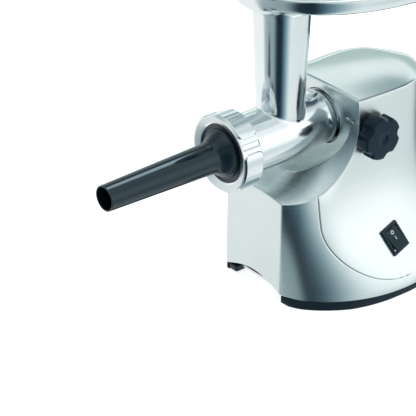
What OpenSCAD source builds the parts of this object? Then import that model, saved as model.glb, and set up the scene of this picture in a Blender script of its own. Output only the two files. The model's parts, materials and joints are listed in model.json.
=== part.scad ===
// Electric meat grinder with a sausage filling nozzle.
// Millimetres, +Z up. The head points to -Y, the lock knob and the switch are on +X.
// The origin is on the table, in the middle of the whole machine.

/* [Body] */
// Half-width of the base, at the table
base_half_w = 117; // [112:1:122]
// Half-width of the body at the top
top_half_w = 61; // [58:1:64]
// Height of the top deck's edge above the table
deck_z = 215; // [213:1:219]
// How far the pedestal's front stands ahead of the upper front wall
pedestal_d = 90.5; // [86:0.5:95]
// Half-width of the pedestal's flat front
pedestal_half_w = 43.7; // [40:0.1:46]
// Height of the pedestal's ledge
ledge_z = 119; // [115:1:122]
// Wall thickness of the body panels
skin = 2.4; // [2:0.1:3]
// Height of the black base strip
strip_h = 8; // [6:0.5:8]
// Top of the skirt that runs round the foot of the body
skirt_z = 20; // [18:1:26]

/* [Head] */
// Height of the head's axis above the table
axis_z = 176.4; // [175.4:0.1:177.4]
// Distance from the body's front wall to the ring nut's front face
ring_front = 139; // [137:1:141]
// Outside radius of the barrel behind the ring nut
barrel_r = 32.5; // [32:0.1:33]
// Bore radius of the barrel
bore_r = 27.5; // [27:0.1:28]
// Distance of the feed chute's axis ahead of the body's front wall
chute_y = 56.4; // [55:0.1:58]
// Height of the chute's top rim above the table
chute_top = 321.6; // [312:0.2:321.6]

/* [Ring nut and nozzle] */
// Outside radius of the ring nut over its lobes
ring_r = 43; // [41:0.5:44]
// Length of the ring nut
ring_l = 25; // [24:0.5:26]
// Radius of the ring nut's front opening
ring_open_r = 31.6; // [30:0.1:32]
// Number of grip pads round the ring nut
ring_lobes = 4; // [4:1:8]
// Distance from the body's front wall to the nozzle's tip
nozzle_tip = 284.7; // [260:0.1:300]
// Outside radius of the nozzle at its tip
nozzle_tip_r = 13.8; // [11:0.1:15]
// Outside radius of the nozzle's tube at its root
nozzle_root_r = 17; // [16:0.1:18]
// Wall of the nozzle
nozzle_wall = 1.6; // [1.2:0.1:2]

/* [Tray] */
// Half-length of the tray
tray_b = 158; // [140:1:160]
// Half-width of the tray
tray_a = 112; // [105:0.5:116.5]
// Height of the tray's rim above the table
tray_top = 352; // [348:1:358]

/* [Lock knob] */
// Outside radius of the knob over its lobes
knob_r = 24; // [21:0.5:25]
// Distance of the knob's outer face from the centre plane
knob_x = 83; // [80:1:88]
// Distance of the knob's axis behind the front wall
knob_y = 15; // [13:0.5:17]

/* [Gears] */
// Teeth on each of the three pinions
pinion_t = 12; // [12:1:12]
// Teeth on the output gear
out_t = 32; // [32:1:32]
// Teeth on the second stage's wheel
mid_t = 44; // [44:1:44]
// Teeth on the first stage's wheel
first_t = 50; // [50:1:50]

/* [Hidden] */
$fn = 64;
nozzle_back = 208;
// The front wall's place: the machine's middle is the origin
ys = (nozzle_tip - nozzle_back) / 2;
HZ = axis_z;

// ---- the body's form ----
function clamp01(v) = min(1, max(0, v));
// Flare of the walls towards the foot
function flare(z) = exp(-pow(max(0, z - 8) / 65, 1.65));
flare_w = base_half_w - top_half_w - 0.03 * (deck_z - 8);
function wa(z) = top_half_w + 0.03 * (deck_z - z) + flare_w * flare(z);
function gz(z) = clamp01((z - 120) / (deck_z - 120));
function y0(z) = -44 + 74 * flare(z) + gz(z) * 104;
function bf(z) = 60.5 + 74.5 * flare(z) + gz(z) * 116;
function y1(z) = 30 + 30 * clamp01((z - 8) / (deck_z - 8));
function rear(z) = 133 - 11 * clamp01((z - 8) / (deck_z - 8)) + 32 * flare(z);
function br(z) = rear(z) - y1(z);
// Half-width of the body at depth y and height z
function wx(y, z) = y < y0(z) ? wa(z) * sqrt(max(0, 1 - pow((y - y0(z)) / bf(z), 2)))
                  : y > y1(z) ? wa(z) * sqrt(max(0, 1 - pow((y - y1(z)) / br(z), 2))) : wa(z);
// Depth of the wall behind the seat, where its half-width is x
function wy(x, z) = y1(z) + br(z) * sqrt(max(0, 1 - pow(x / wa(z), 2)));
// The concave ledge: height at depth y, and depth at height z
ramp_h = 71;
rn = 1.9;
function ramp_z(y) = ledge_z + ramp_h * (1 - pow(max(0, 1 - pow(clamp01((y + pedestal_d) / pedestal_d), rn)), 1 / rn));
function ramp_y(z) = z >= ledge_z + ramp_h ? 0 : -pedestal_d + pedestal_d * pow(max(0, 1 - pow(1 - clamp01((z - ledge_z) / ramp_h), rn)), 1 / rn);
// The crease between the front casting and the side shell
crease_y = -58;
crease_z = ramp_z(crease_y);
crease_b = 90;
crease_end = 30;
// Row heights shared by the front panels and the side shells
row_p = ln((deck_z - 1 - skirt_z) / (crease_z - 1.2 - skirt_z)) / ln(16 / 11);
row_c = (crease_z - 1.2 - skirt_z) / pow(11, row_p);
function zk(k) = skirt_z + row_c * pow(k, row_p);
function cyo(z) = crease_end - (crease_end - crease_y) * sqrt(max(0, 1 - pow(clamp01((crease_b - z) / (crease_b - skirt_z)), 1.85)));
function cy(z) = z >= crease_z ? ramp_y(z) : z >= crease_b ? crease_y
               : z < zk(1) ? crease_end + (cyo(zk(1)) - crease_end) * (z - skirt_z) / (zk(1) - skirt_z) : cyo(z);
// Half-width of the pedestal's side panel, which starts at the flat front's edge
function px(y, z) = wx(y, z) - (wx(-pedestal_d, z) - pedestal_half_w) * pow(clamp01((12.5 - pedestal_d - y) / 12.5), 2);

// The left front corner is flatter than the right one
function left_lim(y) = (97.8 + 0.776 * y) / 0.631;
function smin(a, b, k) = min(a, b) - (k > 0 ? pow(max(k - abs(a - b), 0), 2) / (4 * k) : 0);
function plx(y, z) = smin(px(y, z), left_lim(y), 8 * clamp01((y + pedestal_d) / 20));

// A curved sheet of thickness t from a function of u and v
function sub3(a, b) = [a[0] - b[0], a[1] - b[1], a[2] - b[2]];
function unit3(a) = a / norm(a);
function nrm(f, u, v) = let(e = 0.004, u0 = max(0, u - e), u1 = min(1, u + e), v0 = max(0, v - e), v1 = min(1, v + e))
  unit3(cross(sub3(f(u1, v), f(u0, v)), sub3(f(u, v1), f(u, v0))));
module sheet(f, nu, nv, t) {
  n = nu + 1; m = nv + 1;
  o = [for (i = [0:nu]) for (j = [0:nv]) f(i / nu, j / nv)];
  q = [for (i = [0:nu]) for (j = [0:nv]) f(i / nu, j / nv) - t * nrm(f, i / nu, j / nv)];
  N = n * m;
  function id(i, j) = i * m + j;
  top = [for (i = [0:nu - 1]) for (j = [0:nv - 1]) each [[id(i, j), id(i, j + 1), id(i + 1, j + 1)], [id(i, j), id(i + 1, j + 1), id(i + 1, j)]]];
  bot = [for (g = top) [g[2] + N, g[1] + N, g[0] + N]];
  e1 = [for (j = [0:nv - 1]) each [[id(0, j + 1), id(0, j), id(0, j) + N], [id(0, j + 1), id(0, j) + N, id(0, j + 1) + N]]];
  e2 = [for (j = [0:nv - 1]) each [[id(nu, j), id(nu, j + 1), id(nu, j + 1) + N], [id(nu, j), id(nu, j + 1) + N, id(nu, j) + N]]];
  e3 = [for (i = [0:nu - 1]) each [[id(i, 0), id(i + 1, 0), id(i + 1, 0) + N], [id(i, 0), id(i + 1, 0) + N, id(i, 0) + N]]];
  e4 = [for (i = [0:nu - 1]) each [[id(i + 1, nv), id(i, nv), id(i, nv) + N], [id(i + 1, nv), id(i, nv) + N, id(i + 1, nv) + N]]];
  polyhedron(points = concat(o, q), faces = concat(top, bot, e1, e2, e3, e4), convexity = 6);
}
// A cylinder along +Y from y = a to y = b, on the line x, z
module ycyl(x, z, a, b, r, fn = 64) { translate([x, a, z]) rotate([-90, 0, 0]) cylinder(r = r, h = b - a, $fn = fn); }
// A turned profile along Y: points are [radius, y]
module yturn(z, p, fn = 96) { translate([0, 0, z]) rotate([90, 0, 0]) rotate_extrude($fn = fn) polygon([for (k = p) [k[0], -k[1]]]); }

gap = 0.4;
rear_w = 30;

module side_shell(s = 1) {
  f = function(u, v) let(k = 24 * u, zm = crease_z - 1.2, z = k < 1 ? skirt_z + gap + (zk(1) - skirt_z - gap) * k : k < 11 ? zk(k) : zm + (deck_z - 1 - zm) * (k - 11) / 13,
      a = cy(z) + gap, b = wy(rear_w + gap, z), y = a + (b - a) * sin(90 * (1 - v))) [wx(y, z), y, z];
  color("silver") if (s > 0) difference() {
    sheet(f, 24, 16, skin);
    on_side() translate([-20, -12, -15]) cube([40, 24, 30]);
    on_side() translate([-0.25, -12.9, -15.9]) cube([12, 25.8, 31.8]);
    translate([40, knob_y, HZ]) rotate([0, 90, 0]) cylinder(r = 8.3, h = 60, $fn = 48);
  }
  else mirror([1, 0, 0]) sheet(f, 24, 16, skin);
}
module front_panel(s = 1) {
  f = function(u, v) let(k = 12 * u, z = k < 1 ? strip_h + (skirt_z - strip_h) * k : zk(k - 1), ye = z < skirt_z ? crease_end : cy(z),
      a = -pedestal_d, b = ye - gap / 2, y = a + (b - a) * (1 - v), zm = crease_z - 1.2,
      zz = z < 60 ? z : 60 + (z - 60) * (min(zm, ramp_z(y) - 0.6) - 60) / (zm - 60)) [s > 0 ? px(y, zz) : plx(y, zz), y, zz];
  color("lightslategray") if (s > 0) sheet(f, 12, 8, skin);
  else mirror([1, 0, 0]) sheet(f, 12, 8, skin);
}
module side_shell_right() { side_shell(1); }
module side_shell_left() { side_shell(-1); }
module front_panel_right() { front_panel(1); }
module front_panel_left() { front_panel(-1); }
// The pedestal's flat front, with an arched cut-out at its foot
module front_plate() {
  w = pedestal_half_w - 2.2;
  color("gainsboro") translate([0, -pedestal_d + skin, 0]) rotate([90, 0, 0]) linear_extrude(height = skin)
    polygon(concat([for (k = [-10:10]) [w * k / 10, strip_h - 0.8 + 12.5 * cos(9 * k)]],
      [for (k = [10:-1:-10]) [w * k / 10, ledge_z - skin - 0.3 + 3 * (1 - pow(k / 10, 2))]]));
}
// The concave ledge under the head, cut by the round socket
function lx(y) = y < crease_y ? px(y, ledge_z) : wx(y, ramp_z(y));
module front_ledge() {
  f = function(u, v) let(y = -pedestal_d + (pedestal_d - 0.6) * pow(u, 0.75), x = (2 * v - 1) * (lx(y) - skin - 0.4)) [x, y, ramp_z(y) + 3 * (1 - pow(2 * v - 1, 2)) * pow(1 - u, 2)];
  color("lightgray") difference() {
    mirror([1, 0, 0]) sheet(f, 14, 12, skin);
    ycyl(0, HZ, -pedestal_d, 10, dish_r);
  }
}
dish_r = 48;
// The wall of the round recess that the neck of the head goes into
module socket_dish() {
  color("gainsboro") intersection() {
    difference() { ycyl(0, HZ, -75, -0.4, dish_r - 0.3, 96); ycyl(0, HZ, -76, 1, dish_r - 2.7, 96); }
    translate([60, 0, 0]) rotate([90, 0, -90]) linear_extrude(height = 120)
      polygon(concat([for (k = [0:24]) let(y = -pedestal_d + pedestal_d * pow(k / 24, 0.75)) [-y, ramp_z(y) - 0.2]], [[0, 100], [pedestal_d, 100]]));
  }
}
// The upright front wall, with the hole for the neck
module front_wall() {
  color("gainsboro") difference() {
    translate([0, skin, 0]) rotate([90, 0, 0]) linear_extrude(height = skin)
      polygon(concat([for (k = [0:10]) let(z = 126 + (deck_z - 1.2 - 126) * k / 10) [wx(0, z) - skin - 0.5, z]],
                     [for (k = [10:-1:0]) let(z = 126 + (deck_z - 1.2 - 126) * k / 10) [-(wx(0, z) - skin - 0.5), z]]));
    ycyl(0, HZ, -5, 10, 30.5);
  }
}
module top_cover() {
  ye = rear(deck_z);
  f = function(u, v) let(y = 0.2 + (ye - 1.5) * sin(90 * u), x = (2 * v - 1) * (wx(y, deck_z) - 0.2)) [x, y, deck_z + 3.2 * (1 - pow(2 * v - 1, 2)) * sin(180 * clamp01(0.12 + 0.8 * u))];
  color("silver") mirror([1, 0, 0]) sheet(f, 14, 12, skin * 0.4);
}
module rear_cover() {
  f = function(u, v) let(z = skirt_z + gap + (deck_z - 1 - skirt_z - gap) * u, x = -rear_w + 2 * rear_w * v) [x, wy(abs(x), z), z];
  color("silver") difference() {
    sheet(f, 14, 8, skin);
    for (i = [0:6]) translate([-20, 100, 120 + 9 * i]) cube([40, 60, 3.2]);
    ycyl(0, 52, 100, 170, 8.8);
  }
}
// The skirt that runs round the sides and the back, above the black strip
module base_skirt() {
  ya = crease_end + 0.4;
  f = function(u, v) let(z = strip_h + (skirt_z - strip_h) * u, x1 = wx(ya, z), t0 = -asin(clamp01((y0(z) - ya) / bf(z))), t = 180 - t0 - (180 - 2 * t0) * v)
    t < 90 ? [wx(t < 0 ? y0(z) + bf(z) * sin(t) : y1(z) + br(z) * sin(t), z), t < 0 ? y0(z) + bf(z) * sin(t) : y1(z) + br(z) * sin(t), z]
           : let(q = 180 - t) [-wx(q < 0 ? y0(z) + bf(z) * sin(q) : y1(z) + br(z) * sin(q), z), q < 0 ? y0(z) + bf(z) * sin(q) : y1(z) + br(z) * sin(q), z];
  color("silver") sheet(f, 2, 64, skin);
}
// Plan outline of the foot, inset by d
function foot(d) = [for (k = [0:71]) let(t = 5 * k, y = max(-pedestal_d + 0.5, 30 + (135 - d) * sin(t)), x = (base_half_w - d) * cos(t))
  [x > 0 ? (y < -pedestal_d + 1 ? min(x, pedestal_half_w) : x) : -min(-x, max(left_lim(y) - d, 20)), y]];
// The strip's lower outline, which stands out towards the front corners
function toe(d) = [for (q = foot(0.6 + d)) let(w = 4.4 * pow(clamp01((20 - q[1]) / 60), 1.2) * clamp01((q[1] + pedestal_d - 0.9) / 6 + 0.15))
  [q[0] > 0 ? min(q[0] + w * 0.75, base_half_w - 0.2) : q[0], max(q[1] - w * (q[0] > 0 ? 0.75 : 0), -pedestal_d + 0.5)]];
module base_strip() {
  color("black") difference() {
    union() {
      hull() {
        linear_extrude(height = 0.6) polygon(toe(0.6));
        translate([0, 0, 2]) linear_extrude(height = 0.6) polygon(toe(0));
        translate([0, 0, strip_h - 1.3]) linear_extrude(height = 1) polygon(foot(0.8));
      }
    }
    translate([0, 0, -1]) linear_extrude(height = strip_h + 2) polygon(foot(22));
    translate([-30, -120, -1]) cube([30 + pedestal_half_w - 0.8, 60, strip_h + 2]);
  }
}
module base_plate() {
  color("dimgray") translate([0, 0, strip_h - 0.3]) linear_extrude(height = 3) difference() {
    polygon([for (q = foot(6)) [q[0], max(q[1], -pedestal_d + 8)]]);
    for (x = [-64, 64]) for (y = [-30, 100]) translate([x, y]) circle(r = 2.2, $fn = 24);
  }
}
module base_screws() {
  color("silver") for (x = [-64, 64]) for (y = [-30, 100]) translate([x, y, strip_h - 2.6]) { cylinder(r = 4, h = 2.2, $fn = 24); cylinder(r = 2, h = 14, $fn = 24); }
}
// The gland that a mains lead would come out of
module cord_inlet_gland() {
  yr = wy(0, 52);
  color("black") yturn(52, [[2.6, yr - 10], [6, yr - 10], [6, yr + 1], [8.5, yr + 1], [8.5, yr + 3], [5.6, yr + 12], [2.6, yr + 12]], 48);
}

// ---- switch ----
sw_c = [92.3, 28, 57];
sw_lean = 30.3;
sw_turn = 16;
// Puts its children on the side wall: x is outward, y is across, z is up the wall
module on_side() { translate(sw_c) rotate([0, -sw_lean, 0]) rotate([sw_turn, 0, 0]) children(); }
module switch_bezel() {
  color("black") on_side() difference() {
    translate([-0.2, -12.7, -15.7]) cube([3.4, 25.4, 31.4]);
    translate([-1, -9.4, -12.8]) cube([6, 18.8, 25.6]);
  }
}
module switch_case() {
  color("dimgray") on_side() {
    translate([-17, -11.6, -14.4]) cube([12, 23.2, 28.8]);
    for (k = [-8, 0, 8]) translate([-25, -2, k - 0.4]) cube([8.5, 4, 0.8]);
  }
}
// The rocker's back is round about the line that it tilts on, 5 mm out of the wall
module rocker() {
  color("black") on_side() {
    rotate([90, 0, 0]) translate([0, 0, -9]) linear_extrude(height = 18)
      polygon([[1.4, -7], [4, -12], [7.2, -12], [3.6, 0], [2.4, 12], [1.2, 12], [1.2, 5]]);
    intersection() {
      translate([5, 9, 0]) rotate([90, 0, 0]) cylinder(r = 7, h = 18, $fn = 96);
      translate([-3, -9, -6]) cube([5.4, 18, 12]);
    }
  }
}

// ---- neck socket and lock ----
neck_r = 23.5;
module neck_socket() {
  color("lightslategray") difference() {
    union() { ycyl(0, HZ, skin + 0.3, 34, 29.5); translate([20, knob_y - 9, HZ - 9]) cube([14, 18, 18]); }
    ycyl(0, HZ, -1, 40, neck_r + 0.35);
    translate([0, knob_y, HZ]) rotate([0, 90, 0]) cylinder(r = 5.05, h = 60, $fn = 48);
  }
}
module lock_bushing() {
  color("gray") difference() {
    translate([34.2, knob_y, HZ]) rotate([0, 90, 0]) cylinder(r = 8, h = wx(knob_y, HZ) + 0.6 - 34.2);
    translate([30, knob_y, HZ]) rotate([0, 90, 0]) cylinder(r = 5.05, h = 60, $fn = 48);
  }
}
module clamp_pad() { color("silver") translate([neck_r + 0.35, knob_y, HZ]) rotate([0, 90, 0]) cylinder(r = 4.6, h = 2.6, $fn = 48); }
module lock_bolt() { color("silver") translate([neck_r + 3.3, knob_y, HZ]) rotate([0, 90, 0]) cylinder(r = 5, h = 68 - neck_r - 3.3, $fn = 48); }
module knob_2d(n, R, r) {
  difference() {
    circle(r = R, $fn = 96);
    for (i = [0:n - 1]) rotate(360 / n * i + 20) translate([R + r * 0.62, 0]) circle(r = r, $fn = 48);
  }
}
module lock_knob() {
  color([0.1, 0.12, 0.15]) translate([0, knob_y, HZ]) rotate([0, 90, 0]) difference() {
    union() {
      translate([0, 0, 67]) linear_extrude(height = knob_x - 68) knob_2d(5, knob_r, 9);
      translate([0, 0, knob_x - 1]) linear_extrude(height = 1) knob_2d(5, knob_r - 0.8, 9.4);
      translate([0, 0, 65]) cylinder(r = 11, h = 3);
    }
    translate([0, 0, knob_x - 1.6]) cylinder(r = 5.5, h = 4);
    translate([0, 0, 60]) cylinder(r = 5, h = 8, $fn = 48);
  }
}

// ---- head ----
barrel_front = ring_front - 11.5;
module grinder_head() {
  color("silver") difference() {
    union() {
      yturn(HZ, [[0, -barrel_front], [34.2, -barrel_front], [34.2, -ring_front + ring_l + 0.5], [barrel_r, -ring_front + ring_l + 2], [barrel_r, -66],
                 [31, -50], [29.2, -35], [27.4, -24], [26.8, -18], [27.6, -12], [29, -9], [29, -6.5], [neck_r, -6.5], [neck_r, 30], [0, 30]]);
      translate([0, -chute_y, HZ]) cylinder(r1 = 24.3, r2 = 24.3 + 0.04 * (chute_top - HZ), h = chute_top - HZ, $fn = 96);
      translate([0, -chute_y, HZ + 24]) cylinder(r1 = 28, r2 = 24.6, h = 14, $fn = 96);
    }
    yturn(HZ, [[0, -barrel_front - 1], [31.25, -barrel_front - 1], [31.25, -barrel_front + 13], [bore_r, -barrel_front + 13], [bore_r, -40], [20, -26], [20, -14], [9.2, -14], [9.2, 31], [0, 31]]);
    translate([0, -chute_y, HZ]) cylinder(r1 = 21.3, r2 = 21.6 + 0.04 * (chute_top - HZ), h = chute_top - HZ + 1, $fn = 96);
  }
}
// The locating lug on top of the neck flange
module head_lug() {
  color("silver") difference() {
    translate([-6, -17, HZ + 24]) cube([12, 7.9, 9.5]);
    yturn(HZ, [[0, -18], [26.85, -18], [27.65, -12], [29.05, -9], [0, -9]]);
  }
}

module ring_2d(R, n) {
  difference() {
    circle(r = R, $fn = 144);
    for (i = [0:n - 1]) rotate(360 / n * i - 30) translate([R + 5.2, 0]) circle(r = 7.8, $fn = 48);
  }
}
module ring_nut() {
  f = -ring_front;
  color("silver") difference() {
    union() {
      yturn(HZ, [[0, f + 2.4], [ring_open_r + 1.8, f + 2.4], [ring_r - 2.4, f], [ring_r - 1.6, f + 0.8], [ring_r - 1.6, f + 2.6], [ring_r - 3.4, f + 2.6], [ring_r - 3.4, f + ring_l], [0, f + ring_l]]);
      translate([0, f + 2, HZ]) rotate([-90, 0, 0]) linear_extrude(height = ring_l - 2.5) ring_2d(ring_r, ring_lobes);
    }
    yturn(HZ, [[0, f - 1], [ring_open_r + 1.8, f - 1], [ring_open_r + 1.8, f + 2.4], [ring_open_r, f + 3.6], [ring_open_r, f + 4.6], [34.6, f + 4.6], [34.6, f + ring_l + 1], [0, f + ring_l + 1]]);
  }
}
module nozzle() {
  f = -ring_front;
  w = nozzle_wall;
  color([0.05, 0.05, 0.06]) yturn(HZ, [
    [nozzle_tip_r - w, -nozzle_tip], [nozzle_tip_r, -nozzle_tip], [nozzle_root_r, f - 12], [nozzle_root_r + 2.4, f - 9], [24, f + 0.5], [25.4, f + 2.6], [25.4, f + 4.2], [29.4, f + 4.2], [29.4, f + 5.2],
    [34.2, f + 5.2], [34.2, f + 11], [28, f + 11], [28, f + 8], [24, f + 5.4], [nozzle_root_r + 1, f - 6], [nozzle_root_r - w, f - 12]]);
}
module hole_plate() {
  a = -barrel_front + 0.2;
  color("silver") difference() {
    ycyl(0, HZ, a, a + 5, 31.05, 96);
    ycyl(0, HZ, a - 1, a + 6, 4.06, 48);
    for (k = [0:5]) rotate_y(60 * k) ycyl(11.5, 0, a - 1, a + 6, 3.6, 24);
    for (k = [0:11]) rotate_y(30 * k + 15) ycyl(21.5, 0, a - 1, a + 6, 3.6, 24);
  }
}
module rotate_y(t) { translate([0, 0, HZ]) rotate([0, t, 0]) children(); }
module cutter() {
  a = -barrel_front + 5.5;
  color("silver") difference() {
    union() {
      ycyl(0, HZ, a, a + 6, 10, 48);
      for (k = [0:3]) rotate_y(90 * k) translate([6, a, -4]) cube([20.5, 4.2, 8]);
    }
    translate([-5.1, a - 1, HZ - 5.1]) cube([10.2, 8, 10.2]);
  }
}
// Feed screw: a shaft with one turned-up thread made of short steps
module feed_screw() {
  a = -barrel_front + 12;
  pitch = 26;
  steps = 36;
  color("gainsboro") {
    yturn(HZ, [[0, a - 12.3], [4, a - 12.3], [4, a - 6.7], [5, a - 6.7], [5, a - 0.5], [10, a - 0.5], [15, -36], [15, -15.6], [9, -15.6], [9, 12.6], [0, 12.6]], 48);
    translate([-5, a - 6.6, HZ - 5]) cube([10, 6.6, 10]);
    translate([-5.2, 12, HZ - 5.2]) cube([10.4, 34, 10.4]);
    for (k = [0:94]) rotate_y(360 / steps * k) translate([0, a + 0.5 + pitch * k / steps, 0]) rotate([-90, 0, 0])
      linear_extrude(height = 5) polygon([[0, -1.5], [26.6, -2.6], [26.6, 2.6], [0, 1.5]]);
  }
}
module feed_screw_washer() { color("white") difference() { ycyl(0, HZ, -15.2, -14.2, 15); ycyl(0, HZ, -16, -13, 9.3); } }

// ---- tray ----
tray_y = nozzle_back - tray_b;
function oval(d, k = 72) = [for (i = [0:k - 1]) let(t = 360 / k * i) [(tray_a - d) * cos(t), tray_y + (tray_b - d) * sin(t)]];
// The pan's section as [inset, height], and the bowl that leads down to the chute as [radius, height]
pan = [[3, 340], [4.2, 337], [7.5, 334], [13, 332.2], [24, 331.4]];
bowl = [[30.6, 322], [36, 323.6], [41, 325.8], [45, 328.4], [48.5, 331.6], [51, 335], [52, 340]];
// A closed solid through a stack of ovals, each [inset, height]
module oval_stack(p) {
  n = 72; m = len(p);
  pts = [for (k = p) for (q = oval(k[0], n)) [q[0], q[1], k[1]]];
  side = [for (j = [0:m - 2]) for (i = [0:n - 1]) let(i2 = (i + 1) % n, a = j * n) each [[a + i, a + n + i, a + n + i2], [a + i, a + n + i2, a + i2]]];
  polyhedron(points = pts, faces = concat([[for (i = [0:n - 1]) i]], side, [[for (i = [n - 1:-1:0]) (m - 1) * n + i]]), convexity = 4);
}
module pan_form(d, h) {
  oval_stack(concat([for (i = [len(pan) - 1:-1:0]) [pan[i][0] + d, pan[i][1] + h]], [[3 + d, tray_top + h]]));
  intersection() {
    translate([0, -chute_y, 0]) rotate_extrude($fn = 96) polygon(concat([[0, 322 + h]], [for (k = bowl) [k[0] - d * 0.8, k[1] + h]], [[50, 346], [0, 346]]));
    translate([0, 0, 310]) linear_extrude(height = 35) polygon(oval(3.4 + d));
  }
}
module tray() {
  zb = 322;
  color("silver") difference() {
    union() {
      pan_form(0, 0);
      translate([0, 0, tray_top - 2]) linear_extrude(height = 2) polygon(oval(0));
      translate([0, -chute_y, 304]) cylinder(r = 26, h = 20, $fn = 96);
    }
    pan_form(2, 2.2);
    translate([0, -chute_y, 300]) cylinder(r = 24.4, h = 60, $fn = 96);
  }
}

// ---- drive train: four axes one above the other ----
m3 = 1.75; m2 = 1.5; m1 = 1.25;
c3 = m3 * (out_t + pinion_t) / 2;
c2 = m2 * (mid_t + pinion_t) / 2;
c1 = m1 * (first_t + pinion_t) / 2;
z2 = HZ - c3;
z1 = z2 - c2;
zm = z1 - c1;
pa = 25;
function inv(a) = tan(a) * 180 / PI - a;
function half_ang(r, m, t) = let(rp = m * t / 2, rb = rp * cos(pa)) 90 / t - 0.13 / rp * 180 / PI + inv(pa) - inv(acos(min(1, rb / r)));
function pol(r, a) = [r * cos(a), r * sin(a)];
module gear_2d(m, t, ph) {
  rp = m * t / 2; ra = rp + m * 0.95; rf = rp - 1.2 * m;
  rs = max(rf, rp * cos(pa));
  polygon([for (k = [0:t - 1]) let(c = ph + 360 / t * k) each concat(
    [pol(rf, c - half_ang(rs, m, t) - 0.2)],
    [for (q = [0:4]) let(r = rs + (ra - rs) * q / 4) pol(r, c - half_ang(r, m, t))],
    [for (q = [4:-1:0]) let(r = rs + (ra - rs) * q / 4) pol(r, c + half_ang(r, m, t))],
    [pol(rf, c + half_ang(rs, m, t) + 0.2)])]);
}
// Phase of the next gear straight below: both teeth angles are seen along -Y
function next_ph(t1, ph1, t2) = -90 + 180 - 180 / t2 + (-90 - ph1) * t1 / t2;
ph_out = 0;
ph_2p = next_ph(out_t, ph_out, pinion_t);
ph_2g = 0;
ph_1p = next_ph(mid_t, ph_2g, pinion_t);
ph_1g = 0;
ph_mp = next_ph(first_t, ph_1g, pinion_t);
module gear(z, a, w, m, t, ph, bore) {
  translate([0, a + w, z]) rotate([90, 0, 0]) linear_extrude(height = w) difference() { gear_2d(m, t, ph); circle(r = bore, $fn = 48); }
}

ga = 56; gb = 74; gc = 88;
case_a = 46; case_b = 100;
module case_2d(d) {
  translate([0, HZ]) circle(r = 32 + d, $fn = 72);
  translate([-36.5 - d, zm]) square([73 + 2 * d, z2 + 22 - zm + d]);
  translate([0, zm]) circle(r = 36.5 + d, $fn = 72);
}
module gearbox_case() {
  color("gray") difference() {
    translate([0, case_b, 0]) rotate([90, 0, 0]) linear_extrude(height = case_b - case_a) case_2d(2.5);
    translate([0, case_b + 1, 0]) rotate([90, 0, 0]) linear_extrude(height = case_b - case_a - 2) case_2d(0);
    ycyl(0, HZ, case_a - 1, case_a + 5, 13.05);
    ycyl(0, z2, case_a - 1, case_a + 5, 4.05, 48);
    ycyl(0, z1, case_a - 1, case_a + 5, 4.05, 48);
    ycyl(0, zm, case_a - 1, case_a + 5, 9);
  }
}
module gearbox_cover() {
  color("gray") difference() {
    union() {
      translate([0, case_b + 3.3, 0]) rotate([90, 0, 0]) linear_extrude(height = 3) case_2d(2.5);
      for (z = [z2, z1]) ycyl(0, z, case_b + 3, case_b + 5, 7, 48);
    }
    for (z = [z2, z1, zm]) ycyl(0, z, case_b - 1, case_b + 4, 4.05, 48);
  }
}
module gearbox_screws() {
  color("silver") for (x = [-30, 30]) for (z = [zm + 4, z2 + 16]) { ycyl(x, z, case_b + 3.3, case_b + 5.5, 3.5, 24); }
}
module output_bearing() { color("gold") difference() { ycyl(0, HZ, case_a - 2, case_a + 8, 13); ycyl(0, HZ, case_a - 3, case_a + 9, 9.05); } }
module output_shaft() {
  color("silver") difference() {
    union() { ycyl(0, HZ, 33, case_a - 2.6, 11); ycyl(0, HZ, case_a - 2.6, ga + 16, 9); }
    translate([-5.35, 32, HZ - 5.35]) cube([10.7, 16, 10.7]);
  }
}
module output_gear() { color("goldenrod") gear(HZ, ga, 14, m3, out_t, ph_out, 9); }
module shaft(z, a, b) { color("silver") ycyl(0, z, a, b, 4, 48); }
module second_shaft() { shaft(z2, case_a + 0.2, case_b + 3.8); }
module second_pinion() { color("gray") gear(z2, ga, 14, m3, pinion_t, ph_2p, 4); }
module second_gear() { color("goldenrod") gear(z2, gb, 10, m2, mid_t, ph_2g, 4); }
module first_shaft() { shaft(z1, case_a + 0.2, case_b + 3.8); }
module first_pinion() { color("gray") gear(z1, gb, 10, m2, pinion_t, ph_1p, 4); }
module first_gear() { color("ivory") gear(z1, gc, 8, m1, first_t, ph_1g, 4); }

// ---- motor: it lies in the pedestal, with its pinion at the back ----
ma = -48; mb = 42;
module motor_can() {
  color("slategray") difference() {
    union() { ycyl(0, zm, ma, mb, 36, 96); for (s = [-1, 1]) translate([s > 0 ? 24 : -44, -30, 24]) cube([20, 60, 5]); }
    ycyl(0, zm, ma - 1, mb - 3, 33.5, 96);
    ycyl(0, zm, mb - 5, mb + 1, 4.06, 48);
  }
}
module motor_end_cap() {
  color("black") difference() { ycyl(0, zm, ma - 3.3, ma - 0.3, 36, 96); ycyl(0, zm, ma - 5, ma + 1, 4.06, 48);
    for (k = [0:5]) rotate([0, 0, 0]) translate([0, 0, zm]) rotate([0, 60 * k, 0]) ycyl(24, 0, ma - 5, ma + 1, 5, 24); }
}
module stator_coils() {
  color("chocolate") difference() {
    ycyl(0, zm, -20, 24, 33.2, 96);
    ycyl(0, zm, -21, 25, 22.5, 96);
  }
}
module rotor_shaft() { color("silver") ycyl(0, zm, ma - 14, gc + 9, 4, 48); }
module rotor_core() { color("gray") difference() { ycyl(0, zm, -18, 22, 21.8); ycyl(0, zm, -19, 23, 4, 48);
  for (k = [0:11]) translate([0, 0, zm]) rotate([0, 30 * k, 0]) translate([18.5, -19, -0.9]) cube([5, 42, 1.8]); } }
module commutator() { color("orange") difference() { ycyl(0, zm, -40, -26, 11); ycyl(0, zm, -41, -25, 4, 48); } }
module motor_pinion() { color("gray") gear(zm, gc, 8, m1, pinion_t, ph_mp, 4); }
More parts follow.
